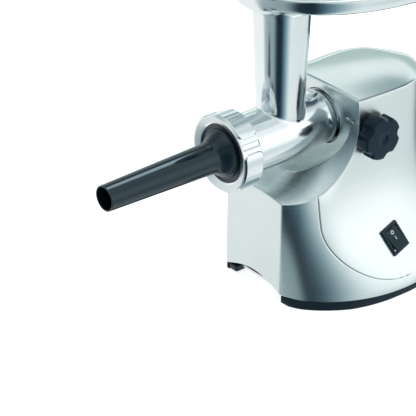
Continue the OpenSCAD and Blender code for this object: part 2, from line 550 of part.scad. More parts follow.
module cooling_fan() {
  color("white") difference() {
    union() { ycyl(0, zm, ma - 13, ma - 6, 9, 48); ycyl(0, zm, ma - 7.2, ma - 6, 31);
      for (k = [0:8]) translate([0, 0, zm]) rotate([0, 40 * k, 0]) translate([7, ma - 13, -0.7]) cube([23, 6.4, 1.4]); }
    ycyl(0, zm, ma - 15, ma, 4, 48);
  }
}
module brush_holders() { color("goldenrod") for (s = [-1, 1]) translate([s > 0 ? 11.4 : -31.4, -37, zm - 4]) cube([20, 8, 8]); }
module motor_mounts() { color("black") for (x = [34, -42]) for (y = [-26, 18]) translate([x, y, strip_h + 3]) cube([8, 8, 24 - strip_h - 3]); }
module circuit_board() {
  color("green") translate([48, 60, 40]) cube([1.6, 50, 40]);
  color("dimgray") translate([49.6, 68, 48]) cube([8, 14, 12]);
}
module capacitor() { color("lightyellow") translate([49.8, 88, 50]) cube([9, 16, 20]); }

translate([0, ys, 0]) front_plate();
translate([0, ys, 0]) front_panel_right();
translate([0, ys, 0]) front_panel_left();
translate([0, ys, 0]) front_ledge();
translate([0, ys, 0]) front_wall();
translate([0, ys, 0]) socket_dish();
translate([0, ys, 0]) side_shell_right();
translate([0, ys, 0]) side_shell_left();
translate([0, ys, 0]) top_cover();
translate([0, ys, 0]) rear_cover();
translate([0, ys, 0]) base_skirt();
translate([0, ys, 0]) base_strip();
translate([0, ys, 0]) base_plate();
translate([0, ys, 0]) base_screws();
translate([0, ys, 0]) cord_inlet_gland();
translate([0, ys, 0]) switch_bezel();
translate([0, ys, 0]) switch_case();
translate([0, ys, 0]) rocker();
translate([0, ys, 0]) neck_socket();
translate([0, ys, 0]) lock_bushing();
translate([0, ys, 0]) clamp_pad();
translate([0, ys, 0]) lock_bolt();
translate([0, ys, 0]) lock_knob();
translate([0, ys, 0]) grinder_head();
translate([0, ys, 0]) head_lug();
translate([0, ys, 0]) ring_nut();
translate([0, ys, 0]) nozzle();
translate([0, ys, 0]) hole_plate();
translate([0, ys, 0]) cutter();
translate([0, ys, 0]) feed_screw();
translate([0, ys, 0]) feed_screw_washer();
translate([0, ys, 0]) tray();
translate([0, ys, 0]) output_bearing();
translate([0, ys, 0]) output_shaft();
translate([0, ys, 0]) output_gear();
translate([0, ys, 0]) gearbox_case();
translate([0, ys, 0]) gearbox_cover();
translate([0, ys, 0]) gearbox_screws();
translate([0, ys, 0]) second_shaft();
translate([0, ys, 0]) second_gear();
translate([0, ys, 0]) second_pinion();
translate([0, ys, 0]) first_shaft();
translate([0, ys, 0]) first_gear();
translate([0, ys, 0]) first_pinion();
translate([0, ys, 0]) motor_can();
translate([0, ys, 0]) motor_end_cap();
translate([0, ys, 0]) stator_coils();
translate([0, ys, 0]) rotor_shaft();
translate([0, ys, 0]) rotor_core();
translate([0, ys, 0]) commutator();
translate([0, ys, 0]) motor_pinion();
translate([0, ys, 0]) cooling_fan();
translate([0, ys, 0]) brush_holders();
translate([0, ys, 0]) motor_mounts();
translate([0, ys, 0]) circuit_board();
translate([0, ys, 0]) capacitor();
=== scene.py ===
import json
import math

import bmesh
import bpy
import numpy as np
from mathutils import Matrix, Vector


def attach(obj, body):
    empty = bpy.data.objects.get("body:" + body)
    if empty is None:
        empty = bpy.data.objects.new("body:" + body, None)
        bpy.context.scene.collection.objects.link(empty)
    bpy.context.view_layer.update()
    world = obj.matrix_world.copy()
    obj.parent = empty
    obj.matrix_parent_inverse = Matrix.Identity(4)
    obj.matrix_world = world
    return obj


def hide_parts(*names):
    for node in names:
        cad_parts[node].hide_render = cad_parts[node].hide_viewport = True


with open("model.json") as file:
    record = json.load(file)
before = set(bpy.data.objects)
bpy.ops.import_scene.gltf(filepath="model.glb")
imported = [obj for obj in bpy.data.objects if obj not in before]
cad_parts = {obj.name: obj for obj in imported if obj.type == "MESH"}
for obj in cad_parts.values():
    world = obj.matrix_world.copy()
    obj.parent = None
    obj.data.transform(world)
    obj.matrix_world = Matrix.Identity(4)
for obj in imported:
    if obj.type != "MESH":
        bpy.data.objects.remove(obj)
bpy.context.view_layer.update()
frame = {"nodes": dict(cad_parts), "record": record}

YS = 38.35  # the body's front wall is this far behind the row frame's middle, in mm
HZ = 176.4  # height of the head's axis
PI = math.pi
rad = math.radians


def clamp01(v):
    return min(1.0, max(0.0, v))


def smooth(v):
    v = clamp01(v)
    return v * v * (3 - 2 * v)


def row(P):
    """Millimetres from the body's front wall to metres in the row frame."""
    P = np.asarray(P, float).copy()
    P[..., 1] += YS
    return P / 1000.0


# ------------------------------------------------------------------ meshes
class Shape:
    def __init__(self):
        self.v, self.f = [], []

    def grid(self, P, wu=False, wv=False):
        P = np.asarray(P, float)
        a, b = P.shape[:2]
        n = len(self.v)
        self.v.extend(P.reshape(-1, 3).tolist())
        for i in range(a if wu else a - 1):
            for j in range(b if wv else b - 1):
                i2, j2 = (i + 1) % a, (j + 1) % b
                self.f.append((n + i * b + j, n + i2 * b + j, n + i2 * b + j2, n + i * b + j2))
        return self

    def fan(self, loop, centre):
        n = len(self.v)
        self.v.extend(np.asarray(loop, float).tolist())
        self.v.append(list(centre))
        m = len(loop)
        for i in range(m):
            self.f.append((n + i, n + (i + 1) % m, n + m))
        return self

    def mirrored(self):
        n = len(self.v)
        self.v.extend([[-p[0], p[1], p[2]] for p in self.v])
        self.f.extend([tuple(reversed([k + n for k in f])) for f in self.f])
        return self


def baked(o):
    dg = bpy.context.evaluated_depsgraph_get()
    dg.update()
    me = bpy.data.meshes.new_from_object(o.evaluated_get(dg))
    o.modifiers.clear()
    old = o.data
    o.data = me
    bpy.data.meshes.remove(old)


def build(shape, name, solid=0, bevel=0, seg=3, angle=32, inside=None, sharp=40, weld=0.004, weight=None, sub=0, flip=False, weigh=False):
    me = bpy.data.meshes.new(name)
    me.from_pydata(row(np.array(shape.v)).tolist(), [], shape.f)
    bm = bmesh.new()
    bm.from_mesh(me)
    bmesh.ops.remove_doubles(bm, verts=bm.verts, dist=weld / 1000)
    bmesh.ops.dissolve_degenerate(bm, dist=1e-7, edges=bm.edges)
    bmesh.ops.recalc_face_normals(bm, faces=bm.faces)
    if inside is not None:
        c = Vector(row(np.array(inside)))
        if sum((f.calc_center_median() - c).dot(f.normal) * f.calc_area() for f in bm.faces) < 0:
            bmesh.ops.reverse_faces(bm, faces=bm.faces)
    if flip:
        bmesh.ops.reverse_faces(bm, faces=bm.faces)
    bm.to_mesh(me)
    bm.free()
    o = bpy.data.objects.new(name, me)
    bpy.context.scene.collection.objects.link(o)
    if solid:
        m = o.modifiers.new("Solid", "SOLIDIFY")
        m.thickness = solid / 1000
        m.offset = -1
        m.use_even_offset = False
        m.use_quality_normals = False
        baked(o)
    if bevel:
        bm = bmesh.new()
        bm.from_mesh(o.data)
        layer = bm.edges.layers.float.get("bevel_weight_edge") or bm.edges.layers.float.new("bevel_weight_edge")
        for e in bm.edges:
            if len(e.link_faces) == 2 and e.calc_face_angle(0) > rad(angle):
                mid = (e.verts[0].co + e.verts[1].co) * 500
                e[layer] = 1.0 if weight is None else clamp01(weight(mid.x, mid.y - YS, mid.z))
        bm.to_mesh(o.data)
        bm.free()
        m = o.modifiers.new("Bevel", "BEVEL")
        m.width = bevel / 1000
        m.segments = seg
        m.limit_method = "WEIGHT"
        m.use_clamp_overlap = False
        m.miter_outer = "MITER_ARC"
        baked(o)
    if sub:
        m = o.modifiers.new("Sub", "SUBSURF")
        m.levels = m.render_levels = sub
        baked(o)
    o.data.shade_smooth()
    o.data.set_sharp_from_angle(angle=rad(sharp))
    if weigh:
        m = o.modifiers.new("Normals", "WEIGHTED_NORMAL")
        m.mode = "FACE_AREA"
        m.weight = 50
        m.keep_sharp = True
    return o


def turned(profile, n=144, z=HZ, x=0.0, closed=True):
    """A closed profile of [radius, y] turned about the head's axis."""
    t = np.linspace(0, 2 * PI, n, endpoint=False)
    p = np.array(profile, float)
    P = np.stack([x + p[:, None, 0] * np.cos(t), np.repeat(p[:, 1][:, None], n, 1), z + p[:, None, 0] * np.sin(t)], -1)
    return Shape().grid(P, wu=closed, wv=True)


def arc(cr, cy, r, a0, a1, n):
    return [[cr + r * math.cos(rad(a)), cy + r * math.sin(rad(a))] for a in np.linspace(a0, a1, n)]


# ------------------------------------------------------------------ the body's form, as in the part source
base_half_w, top_half_w, deck_z, pedestal_d, phw, ledge_z, skirt_z = 117.0, 61.0, 215.0, 90.5, 43.7, 119.0, 20.0
flare_w = base_half_w - top_half_w - 0.03 * (deck_z - 8)


def flare(z):
    return math.exp(-(max(0.0, z - 8) / 65) ** 1.65)


def wa(z):
    return top_half_w + 0.03 * (deck_z - z) + flare_w * flare(z)


def gz(z):
    return clamp01((z - 120) / (deck_z - 120))


def y0(z):
    return -44 + 74 * flare(z) + gz(z) * 104


def bf(z):
    return 60.5 + 74.5 * flare(z) + gz(z) * 116


def y1(z):
    return 30 + 30 * clamp01((z - 8) / (deck_z - 8))


def rear(z):
    return 133 - 11 * clamp01((z - 8) / (deck_z - 8)) + 32 * flare(z)


def br(z):
    return rear(z) - y1(z)


def wx(y, z):
    if y < y0(z):
        return wa(z) * math.sqrt(max(0.0, 1 - ((y - y0(z)) / bf(z)) ** 2))
    if y > y1(z):
        return wa(z) * math.sqrt(max(0.0, 1 - ((y - y1(z)) / br(z)) ** 2))
    return wa(z)


def wy(x, z):
    return y1(z) + br(z) * math.sqrt(max(0.0, 1 - (x / wa(z)) ** 2))


RN, RAMP_H = 1.9, 71.0


def ramp_z(y):
    s = clamp01((y + pedestal_d) / pedestal_d)
    return ledge_z + RAMP_H * (1 - max(0.0, 1 - s ** RN) ** (1 / RN))


def ramp_at(t):
    """Depth and height on the ledge's curve for t from 0 (front edge) to 1 (upright)."""
    a = t * PI / 2
    return -pedestal_d + pedestal_d * math.sin(a) ** (2 / RN), ledge_z + RAMP_H * (1 - max(0.0, math.cos(a)) ** (2 / RN))


def ramp_t(y):
    s = clamp01((y + pedestal_d) / pedestal_d)
    return math.asin(min(1.0, s ** (RN / 2))) / (PI / 2)


CR_Y = -58.0
CR_Z = ramp_z(CR_Y)


def cy(z):
    """Depth of the crease between the front casting and the side shell."""
    if z >= CR_Z:
        a = math.acos(min(1.0, max(0.0, 1 - (z - ledge_z) / RAMP_H) ** (RN / 2)))
        return 0.0 if z >= ledge_z + RAMP_H else -pedestal_d + pedestal_d * math.sin(a) ** (2 / RN)
    if z >= 90:
        return CR_Y
    return 30 - (30 - CR_Y) * math.sqrt(max(0.0, 1 - clamp01((90 - z) / (90 - skirt_z)) ** 1.85))


def px(y, z):
    return wx(y, z) - (wx(-pedestal_d, z) - phw) * clamp01((-78 - y) / 12.5) ** 2


def smin(a, b, k):
    return min(a, b) - (max(k - abs(a - b), 0) ** 2 / (4 * k) if k > 0 else 0)


def plx(y, z):
    """Half-width of the left front corner, which is flatter than the right one."""
    return smin(px(y, z), (97.8 + 0.776 * y) / 0.631, 8 * clamp01((y + pedestal_d) / 20))


GAP = 0.14


def crease_rows():
    """Heights of the crease's points from its foot up to the ledge's corner."""
    low = [90 - (90 - skirt_z) * math.cos(rad(90 * k / 26)) ** (2 / 1.85) for k in range(27)]
    return low + [90 + (CR_Z - 90) * k / 5 for k in range(1, 6)]


def deck_drop(x, y):
    """How far the deck's edge rolls down on the left and at the back."""
    return 8.5 * smooth((16 - x) / 56) * smooth((y - 2) / 30) + 1.2 * smooth((y - 70) / 40)


def deck_roll(x, y):
    e = min(x + wx(y, deck_z), wy(min(abs(x), 60.9), deck_z) - y)
    w = 24.0
    return deck_drop(x, y) * (1 - e / w) ** 2 if e < w else 0.0



def half_casting(side):
    S = Shape()
    W = px if side > 0 else plx
    NF, NB, NS, NV = 14, 20, 18, 14
    vb = [(k / NB) ** 1.25 for k in range(NB + 1)]
    # outer boundary of the ledge, in (x, t)
    outer = [(phw * k / NF, 0.0) for k in range(NF + 1)]
    for v in vb[1:]:
        y = -pedestal_d + (CR_Y + pedestal_d) * v
        outer.append((W(y, ramp_z(y)), ramp_t(y)))
    tc = ramp_t(CR_Y)
    for k in range(1, NS + 1):
        t = tc + (1 - tc) * k / NS
        y, z = ramp_at(t)
        outer.append((W(y, z), t))
    n = len(outer)
    edge = {}

    def lx(t):
        y, z = ramp_at(t)
        return W(y, z)

    def surf(x, t):
        y, z = ramp_at(t)
        u = clamp01((y + pedestal_d) / 89.9) ** (1 / 0.75)
        return [x, y, z + 3 * max(0.0, 1 - (x / max(lx(t), 1e-6)) ** 2) * (1 - u) ** 2]

    R = 48.0
    phi1 = math.degrees(math.asin((190 - HZ) / R))
    phis = []
    for j in range(n):
        if j <= NF:
            a = -90 + 40 * (j / NF)
        elif j <= NF + NB:
            a = -50 + 16 * (vb[j - NF])
        else:
            a = -34 + (phi1 + 34) * ((j - NF - NB) / NS)
        phis.append(a)
    inner = []
    for a in phis:
        x, z = R * math.cos(rad(a)), HZ + R * math.sin(rad(a))
        lo, hi = 0.0, 1.0
        for _ in range(50):
            m = (lo + hi) / 2
            if surf(x, m)[2] < z:
                lo = m
            else:
                hi = m
        inner.append((x, (lo + hi) / 2))
    inner[-1] = (R * math.cos(rad(phi1)), 1.0)
    ledge = []
    for j in range(n):
        colm = []
        for k in range(NV + 1):
            v = k / NV
            x = inner[j][0] + (outer[j][0] - inner[j][0]) * v
            t = inner[j][1] + (outer[j][1] - inner[j][1]) * v
            colm.append(surf(x, t))
        ledge.append(colm)
    S.grid(ledge)
    # the dish wall
    ND = 12
    dish = []
    for j in range(n):
        x, z = R * math.cos(rad(phis[j])), HZ + R * math.sin(rad(phis[j]))
        yin = ledge[j][0][1]
        dish.append([[x, yin * (1 - k / ND), z] for k in range(ND + 1)])
    S.grid(dish)
    # the upright wall round the neck
    r_h = 30.5
    NR = 7
    lower = []
    for j in range(n):
        c, s = math.cos(rad(phis[j])), math.sin(rad(phis[j]))
        lower.append([[(r_h + (R - r_h) * k / NR) * c, 0, HZ + (r_h + (R - r_h) * k / NR) * s] for k in range(NR + 1)])
    S.grid(lower)
    top = deck_z - 0.5
    up = [[ledge[-1][k][0], 0.0, 190.0] for k in range(NV + 1)]
    up += [[W(0, 190 + (top - 190) * k / 8), 0.0, 190 + (top - 190) * k / 8] for k in range(1, 9)]
    wt = W(0, top)
    up += [[wt * (1 - k / 14), 0.0, top + 1.1 * (1 - (1 - k / 14) ** 2)] for k in range(1, 15)]
    d = [0.0]
    for k in range(1, len(up)):
        d.append(d[-1] + math.dist(up[k], up[k - 1]))
    wall = []
    for k, p in enumerate(up):
        a = rad(phi1 + (90 - phi1) * (d[k] / d[-1]) ** 1.0)
        q = [r_h * math.cos(a), 0.0, HZ + r_h * math.sin(a)]
        wall.append([[q[i] + (p[i] - q[i]) * m / NR for i in range(3)] for m in range(NR + 1)])
    # the first wall column has to match the last lower column, which stops at the dish's edge
    wall[0] = lower[-1][:]
    S.grid(wall)
    # side panel from the ledge's edge down to the skirt, then the skirt itself
    zs = crease_rows()[::-1]
    ws = [(CR_Z - z) / (CR_Z - skirt_z) for z in zs]
    panel = []
    for z1_, w in zip(zs, ws):
        ye = cy(z1_)
        line = []
        for v in vb:
            yt = -pedestal_d + (CR_Y + pedestal_d) * v
            z = ramp_z(yt) * (1 - w) + skirt_z * w
            y = -pedestal_d + v * (ye + pedestal_d)
            line.append([W(y, z), y, z])
        panel.append(line)
    for z in (17.0, 14.0, 11.0, 8.0):
        panel.append([[W(-pedestal_d + v * (30 + pedestal_d), z), -pedestal_d + v * (30 + pedestal_d), z] for v in vb])
    S.grid(panel)
    band = []
    for z in (skirt_z, 17.0, 14.0, 11.0, 8.0):
        line = []
        y1_, br_, wa_ = y1(z), br(z), wa(z)
        th0 = 0.0
        for k in range(57):
            th = th0 + (PI / 2 - th0) * k / 56
            line.append([wa_ * math.cos(th), y1_ + br_ * math.sin(th), z])
        line = [[W(30.0, z), 30.0, z]] + line
        band.append(line)
    S.grid(band)
    # the flat front, with the arch at its foot
    zcol = [r[0][2] for r in panel]
    plate = []
    for k in range(NF + 1):
        x = phw * k / NF
        zb = 8 + 11.7 * math.cos(PI / 2 * min(1.0, x / phw))
        zt = ledge_z + 3 * (1 - (x / phw) ** 2)
        plate.append([[x, -pedestal_d, zb + (zt - zb) * (z - 8) / (ledge_z - 8)] for z in zcol])
    S.grid(plate)
    if side < 0:
        S.v = [[-p[0], p[1], p[2]] for p in S.v]
        S.f = [tuple(reversed(f)) for f in S.f]
    return S


def joined(*shapes):
    S = Shape()
    for s in shapes:
        n = len(S.v)
        S.v.extend(s.v)
        S.f.extend([tuple(k + n for k in f) for f in s.f])
    return S


def casting_weight(x, y, z):
    w = 1.0
    # the dish's rim dies away where it meets the upright wall
    if abs(x) < 60 and 126 < z < 192 and y > -12 and abs(math.hypot(x, z - HZ) - 48) < 3.5:
        w = clamp01((-y - 0.5) / 6)
    return w


casting = build(joined(half_casting(1), half_casting(-1)), "front_casting", solid=2.0, bevel=1.15, seg=3, inside=(0, 40, 110), weight=casting_weight, weigh=True)


def shell(side):
    S = Shape()
    zs = crease_rows()
    tc = ramp_t(CR_Y)
    zs += [ramp_at(tc + (1 - tc) * k / 18)[1] for k in range(1, 19)]
    zs += [190 + (deck_z - 0.9 - 190) * k / 8 for k in range(1, 9)]
    zs[0] = 0.5 * (zs[0] + zs[1])
    P = []
    NY = 56
    for i, z in enumerate(zs):
        a = cy(z) + 2 * GAP
        b = wy(30.4, z)
        line = []
        for k in range(NY + 1):
            v = k / NY
            y = a + (b - a) * (0.5 * v + 0.5 * math.sin(v * PI / 2) ** 1.0) if v < 1 else b
            y = a + (b - a) * math.sin(v * PI / 2)
            zz = max(z, skirt_z + 2 * GAP)
            x = wx(y, zz)
            if zz > 190:
                zz -= (zz - 190) / (deck_z - 0.9 - 190) * deck_drop(side * wx(y, deck_z), y)
            line.append([x, y, zz])
        P.append(line)
    S.grid(P)
    if side < 0:
        S.v = [[-p[0], p[1], p[2]] for p in S.v]
        S.f = [tuple(reversed(f)) for f in S.f]
    return S


shell_r = build(shell(1), "side_shell_right_skin", solid=2.0, bevel=0.95, seg=3, inside=(0, 40, 110), angle=50, weigh=True)
shell_l = build(shell(-1), "side_shell_left_skin", solid=2.0, bevel=0.95, seg=3, inside=(0, 40, 110), angle=50, weigh=True)


def cover():
    ye = rear(deck_z)
    P = []
    for i in range(49):
        u = i / 48
        y = 0.15 + (ye - 1.2) * math.sin(u * PI / 2)
        w = wx(y, deck_z) - 0.15
        P.append([[(2 * k / 40 - 1) * w, y, deck_z + 3.2 * (1 - (2 * k / 40 - 1) ** 2) * math.sin(PI * clamp01(0.12 + 0.8 * u)) - deck_roll((2 * k / 40 - 1) * w, y)] for k in range(41)])
    return Shape().grid(P)


deck = build(cover(), "top_cover_skin", solid=0.9, bevel=0.35, seg=2, inside=(0, 60, 100), angle=50)


def rear_skin():
    xs = [-30, -26, -23, -20] + [-20 + 40 * k / 8 for k in range(1, 8)] + [20, 23, 26, 30]
    zs = [skirt_z + 0.8]
    z = 30.0
    while z < 116:
        zs.append(z)
        z += 6
    for i in range(7):
        zs += [120 + 9 * i, 120 + 9 * i + 1.6, 120 + 9 * i + 3.2]
        zs.append(120 + 9 * i + 6.1)
    zs += [182, 190, 198, 206, deck_z - 0.9]
    zs = sorted(set(round(q, 3) for q in zs))
    S = Shape()
    P = [[[x, wy(abs(x), z), z - (clamp01((z - 190) / (deck_z - 0.9 - 190)) * deck_drop(x, 120.0))] for x in xs] for z in zs]
    S.grid(P)
    keep = []
    for f in S.f:
        c = np.mean([S.v[k] for k in f], 0)
        slot = abs(c[0]) < 20 and any(120 + 9 * i < c[2] < 120 + 9 * i + 3.2 for i in range(7))
        if not slot:
            keep.append(f)
    S.f = keep
    return S


rear_c = build(rear_skin(), "rear_cover_skin", solid=2.0, bevel=0.6, seg=2, inside=(0, 40, 110), angle=50)


# ------------------------------------------------------------------ black base strip
def strip():
    """The black foot band: it follows the body's lower edge and stands out towards the right front corner."""
    S = Shape()
    ys_ = [-90.0 + 120.0 * (k / 70) ** 1.5 for k in range(71)]
    right = [(px(max(y, -90.3), 8.0), y) for y in ys_]
    rear_ = [(117.0 * math.cos(t), 30 + 135 * math.sin(t)) for t in np.linspace(0, PI, 121)[1:-1]]
    left = [(-plx(max(y, -90.3), 8.0), y) for y in reversed(ys_)]
    line = np.array(right + rear_ + left)
    tang = np.gradient(line, axis=0)
    nrm = np.stack([tang[:, 1], -tang[:, 0]], -1)
    nrm /= np.linalg.norm(nrm, axis=1)[:, None]
    out = np.array([clamp01((20 - y) / 60) ** 1.2 * clamp01((y + 90.5) / 5 + 0.2) * (1.0 if x > 0 else 0.0) for x, y in line])
    prof = [(-0.5, 7.85, 0.0), (0.05, 7.6, 0.0), (0.3, 7.0, 0.1), (0.2, 2.4, 0.9), (-0.1, 1.1, 1.0), (-0.8, 0.35, 1.0), (-2.0, 0.0, 1.0), (-12, 0.0, 0.0), (-19, 0.0, 0), (-20.4, 0.5, 0), (-21, 1.4, 0), (-21, 7.8, 0)]
    P = []
    for d, z, k in prof:
        q = line + nrm * (d - 0.35 + 4.6 * k * out)[:, None]
        q[:, 0] = np.clip(q[:, 0], -116.7, 116.7)
        q[:, 1] = np.maximum(q[:, 1], -90.1)
        P.append([[x, y, z] for x, y in q])
    S.grid(P, wu=True)
    for k in (0, len(line) - 1):
        loop = [P[i][k] for i in range(len(prof))]
        S.fan(loop, np.mean(loop, 0))
    return S


strip_o = build(strip(), "base_strip_ring", angle=50, inside=(0, 30, 4), sharp=50)

# the short foot that closes the strip at the left front corner
def foot_block(x0, x1, ya, yb, h=7.8, r=2.2):
    S = Shape()
    xs = [x0, x1]
    P = []
    for z, d in ((h, 0), (2.6, 0), (1.2, 0.5), (0.3, 1.6), (0, 2.8)):
        c = [(x0 + d, ya + d), (x1 - d, ya + d), (x1 - d, yb - d), (x0 + d, yb - d)]
        loop = []
        for q in range(4):
            p0, p1, p2 = np.array(c[q - 1]), np.array(c[q]), np.array(c[(q + 1) % 4])
            u = (p0 - p1) / np.linalg.norm(p0 - p1)
            w = (p2 - p1) / np.linalg.norm(p2 - p1)
            for a in np.linspace(0, PI / 2, 6):
                q_ = p1 + r * (u + w) - r * (u * math.sin(a) + w * math.cos(a)) if False else p1 + r * (1 - math.sin(a)) * u + r * (1 - math.cos(a)) * w
                loop.append([q_[0], q_[1], z])
        P.append(loop)
    S.grid(P, wv=True)
    S.fan(P[0], np.mean(P[0], 0))
    S.fan(P[-1], np.mean(P[-1], 0))
    return S


foot_l = build(foot_block(-43.0, -30.0, -88.6, -72.0), "front_foot_left")


# ------------------------------------------------------------------ grinding head: barrel and feed chute in one piece
def interp(profile, y):
    ys = [p[1] for p in profile]
    rs = [p[0] for p in profile]
    return float(np.interp(y, ys, rs))


def smooth_profile(pts, passes=3):
    p = np.array(pts, float)
    for _ in range(passes):
        q = [p[0]]
        for a, b in zip(p[:-1], p[1:]):
            q.append(0.75 * a + 0.25 * b)
            q.append(0.25 * a + 0.75 * b)
        q.append(p[-1])
        p = np.array(q)
    return p.tolist()


CHY = -56.4


def tee(Rf, ya, yb, cf, z_top, fil, rows_up):
    """The surface of a round barrel with a round chute on top. Returns the shape and its three rims."""
    S = Shape()
    NTH, NY_, M = 26, 26, 9
    thm = rad(88)
    ths = np.linspace(-thm, thm, NTH + 1)
    yc0, yc1 = CHY - 41, CHY + 39
    ysr = np.linspace(yc0, yc1, NY_ + 1)

    def on(th, y):
        R = Rf(y)
        return [R * math.sin(th), y, HZ + R * math.cos(th)]

    loop = [(ths[k], yc0) for k in range(NTH)] + [(thm, ysr[k]) for k in range(NY_)]
    loop += [(ths[NTH - k], yc1) for k in range(NTH)] + [(-thm, ysr[NY_ - k]) for k in range(NY_)]
    foot, corner = [], []
    angs = []
    for th, y in loop:
        a = math.atan2((y - CHY) / 40.0, math.sin(th) / math.sin(thm))
        angs.append(a)
    for a in angs:
        for rr, out in ((fil, foot), (0.0, corner)):
            # where a ray in plan at this radius meets the barrel: the chute's radius changes with height
            c = cf(HZ + 20)
            for _ in range(6):
                x, y = (c + rr) * math.cos(a), CHY + (c + rr) * math.sin(a)
                R = Rf(y)
                z = HZ + math.sqrt(max(1.0, R * R - x * x))
                c = cf(z)
            out.append((x, y, z))
    P = []
    for i, (th, y) in enumerate(loop):
        fx, fy, fz = foot[i]
        fth = math.asin(max(-1, min(1, fx / Rf(fy))))
        P.append([on(fth + (th - fth) * (k / M), fy + (y - fy) * (k / M)) for k in range(M + 1)])
    S.grid(P, wu=True)
    # fillet, then the chute's wall
    Q = []
    for i, a in enumerate(angs):
        F, I = np.array(P[i][0]), np.array(corner[i])
        zt = I[2] + fil * 1.15
        c = cf(zt)
        Wp = np.array([c * math.cos(a), CHY + c * math.sin(a), zt])
        line = [((1 - t) ** 2 * F + 2 * t * (1 - t) * I + t * t * Wp) for t in np.linspace(0, 1, 6)]
        for k in range(1, rows_up + 1):
            z = zt + (z_top - zt) * k / rows_up
            c = cf(z)
            line.append(np.array([c * math.cos(a), CHY + c * math.sin(a), z]))
        Q.append([q.tolist() for q in line])
    S.grid(Q, wu=True)
    # the rest of the barrel
    NREST = 26
    th2 = np.linspace(thm, 2 * PI - thm, NREST + 1)
    S.grid([[on(th, y) for th in th2] for y in ysr])
    full = list(ths[:-1]) + list(th2[:-1])
    fr = [y for y in ya if y < yc0 - 0.01] + [yc0]
    bk = [yc1] + [y for y in yb if y > yc1 + 0.01]
    S.grid([[on(th, y) for th in full] for y in fr], wv=True)
    S.grid([[on(th, y) for th in full] for y in bk], wv=True)
    front = [on(th, fr[0]) for th in full]
    back = [on(th, bk[-1]) for th in full]
    top = [q[-1] for q in Q]
    return S, front, back, top, full


def outer_R():
    pts = [[34.2, -127.5], [34.2, -115.2]]
    body = smooth_profile([[32.5, -112.6], [32.5, -92], [32.5, -80], [32.4, -70], [31.9, -58], [31.0, -46], [30.0, -35], [29.0, -26], [28.3, -20], [28.1, -16], [28.3, -12.6], [28.8, -10]], 3)
    pts += [[34.2, -114.6], [33.6, -114.1], [32.8, -113.9]] + body + [[29.0, -9.2], [29.2, -8.6], [29.2, -1.6], [28.8, -1.0], [23.6, -0.9], [23.5, -0.7], [23.5, 30]]
    return pts


ORP = outer_R()
ys_all = sorted(set(round(p[1], 3) for p in ORP))
ya_ = [y for y in ys_all]
head_s, hf, hb, ht, hth = tee(lambda y: interp(ORP, y), ya_, ya_, lambda z: 24.3 + 0.04 * (z - HZ), 320.8, 2.6, 26)


def inner_R(y):
    return interp([[31.3, -127.5], [31.3, -114.6], [27.5, -114.4], [27.5, -40], [20, -26], [20, -14.1], [9.25, -13.9], [9.25, 30]], y)


yin_ = [-127.5, -114.6, -114.4, -110, -104, -100, -14.1, -13.9, -4, 10, 30]
inner_s, gf, gb, gt, _ = tee(inner_R, yin_, yin_, lambda z: 21.3 + 0.04 * (z - HZ), 320.8, 0.8, 8)
rims = Shape()
rims.grid([hf, [[p[0] * 0.985 + 0 * q[0], p[1] - 0.5, HZ + (p[2] - HZ) * 0.985] for p, q in zip(hf, gf)], gf], wv=True)
rims.grid([hb, gb], wv=True)
rims.grid([ht, [[p[0] * 0.985, CHY + (p[1] - CHY) * 0.985, p[2] + 0.8] for p in ht], [[q[0] * 1.02, CHY + (q[1] - CHY) * 1.02, q[2] + 0.8] for q in gt], gt], wv=True)
head = build(joined(head_s, inner_s, rims), "grinder_head_cast", sharp=38)

lug_s = Shape()
lug_s.grid([[[x, y, z] for x, z in ((-6, 201), (-6, 209.9), (6, 209.9), (6, 201))] for y in (-17, -9.1)], wv=True)
lug_s.fan([[x, -17, z] for x, z in ((-6, 201), (-6, 209.9), (6, 209.9), (6, 201))], (0, -17, 205))
lug_s.fan([[x, -9.1, z] for x, z in ((-6, 201), (-6, 209.9), (6, 209.9), (6, 201))], (0, -9.1, 205))
lug = build(lug_s, "head_lug_block", bevel=1.1, seg=3)


# ------------------------------------------------------------------ ring nut
def ring():
    f = -139.0
    NP = 480
    NYR = 56

    def pad(ph, y):
        d = (ph + 15 + 45) % 90 - 45  # degrees from the nearest pad's middle
        s = abs(d) * PI / 180 * 43.0  # along the rim, mm
        hs = 25.2  # half-length of a pad
        yc, hy = f + 13.4, 11.4
        r = 6.0
        qx, qy = max(s - (hs - r), 0), max(abs(y - yc) - (hy - r), 0)
        return math.hypot(qx, qy) - r  # signed distance outside the rounded pad

    rows = []
    ys = np.linspace(f + 0.9, f + 24.6, NYR)
    for y in ys:
        line = []
        for k in range(NP):
            ph = 360.0 * k / NP
            dist = pad(ph, y)
            d = (ph + 15 + 45) % 90 - 45
            g = 45 - abs(d)  # degrees from the groove's middle
            base = 41.2 - 1.5 * math.exp(-(g / 4.6) ** 4) * smooth((y - f - 1.2) / 2.5)
            lift = smooth(0.5 - dist / 2.4)
            rr = base + (43.0 - base) * lift
            edge = min(y - (f + 0.9), f + 24.6 - y)
            if edge < 0.8:
                rr -= 0.35 * (1 - edge / 0.8) ** 2
            line.append([rr * math.cos(rad(ph)), y, HZ + rr * math.sin(rad(ph))])
        rows.append(line)
    rim = lambda r, y: [[r * math.cos(rad(360.0 * k / NP)), y, HZ + r * math.sin(rad(360.0 * k / NP))] for k in range(NP)]
    front = [rim(31.6, f + 4.6), rim(31.6, f + 3.7), rim(31.9, f + 3.3), rim(33.1, f + 2.4), rim(33.6, f + 2.15), rim(36, f + 1.35), rim(38.5, f + 0.5), rim(39.8, f + 0.1), rim(40.4, f + 0.12), rim(40.8, f + 0.45)]
    back = [rim(40.2, f + 25.0), rim(38.5, f + 25.1), rim(35.4, f + 25.1), rim(34.7, f + 24.6), rim(34.6, f + 24), rim(34.6, f + 5.2), rim(34.4, f + 4.7), rim(31.9, f + 4.6)]
    return Shape().grid(front + rows + back, wu=True, wv=True)


ring_o = build(ring(), "ring_nut_cast", sharp=72)


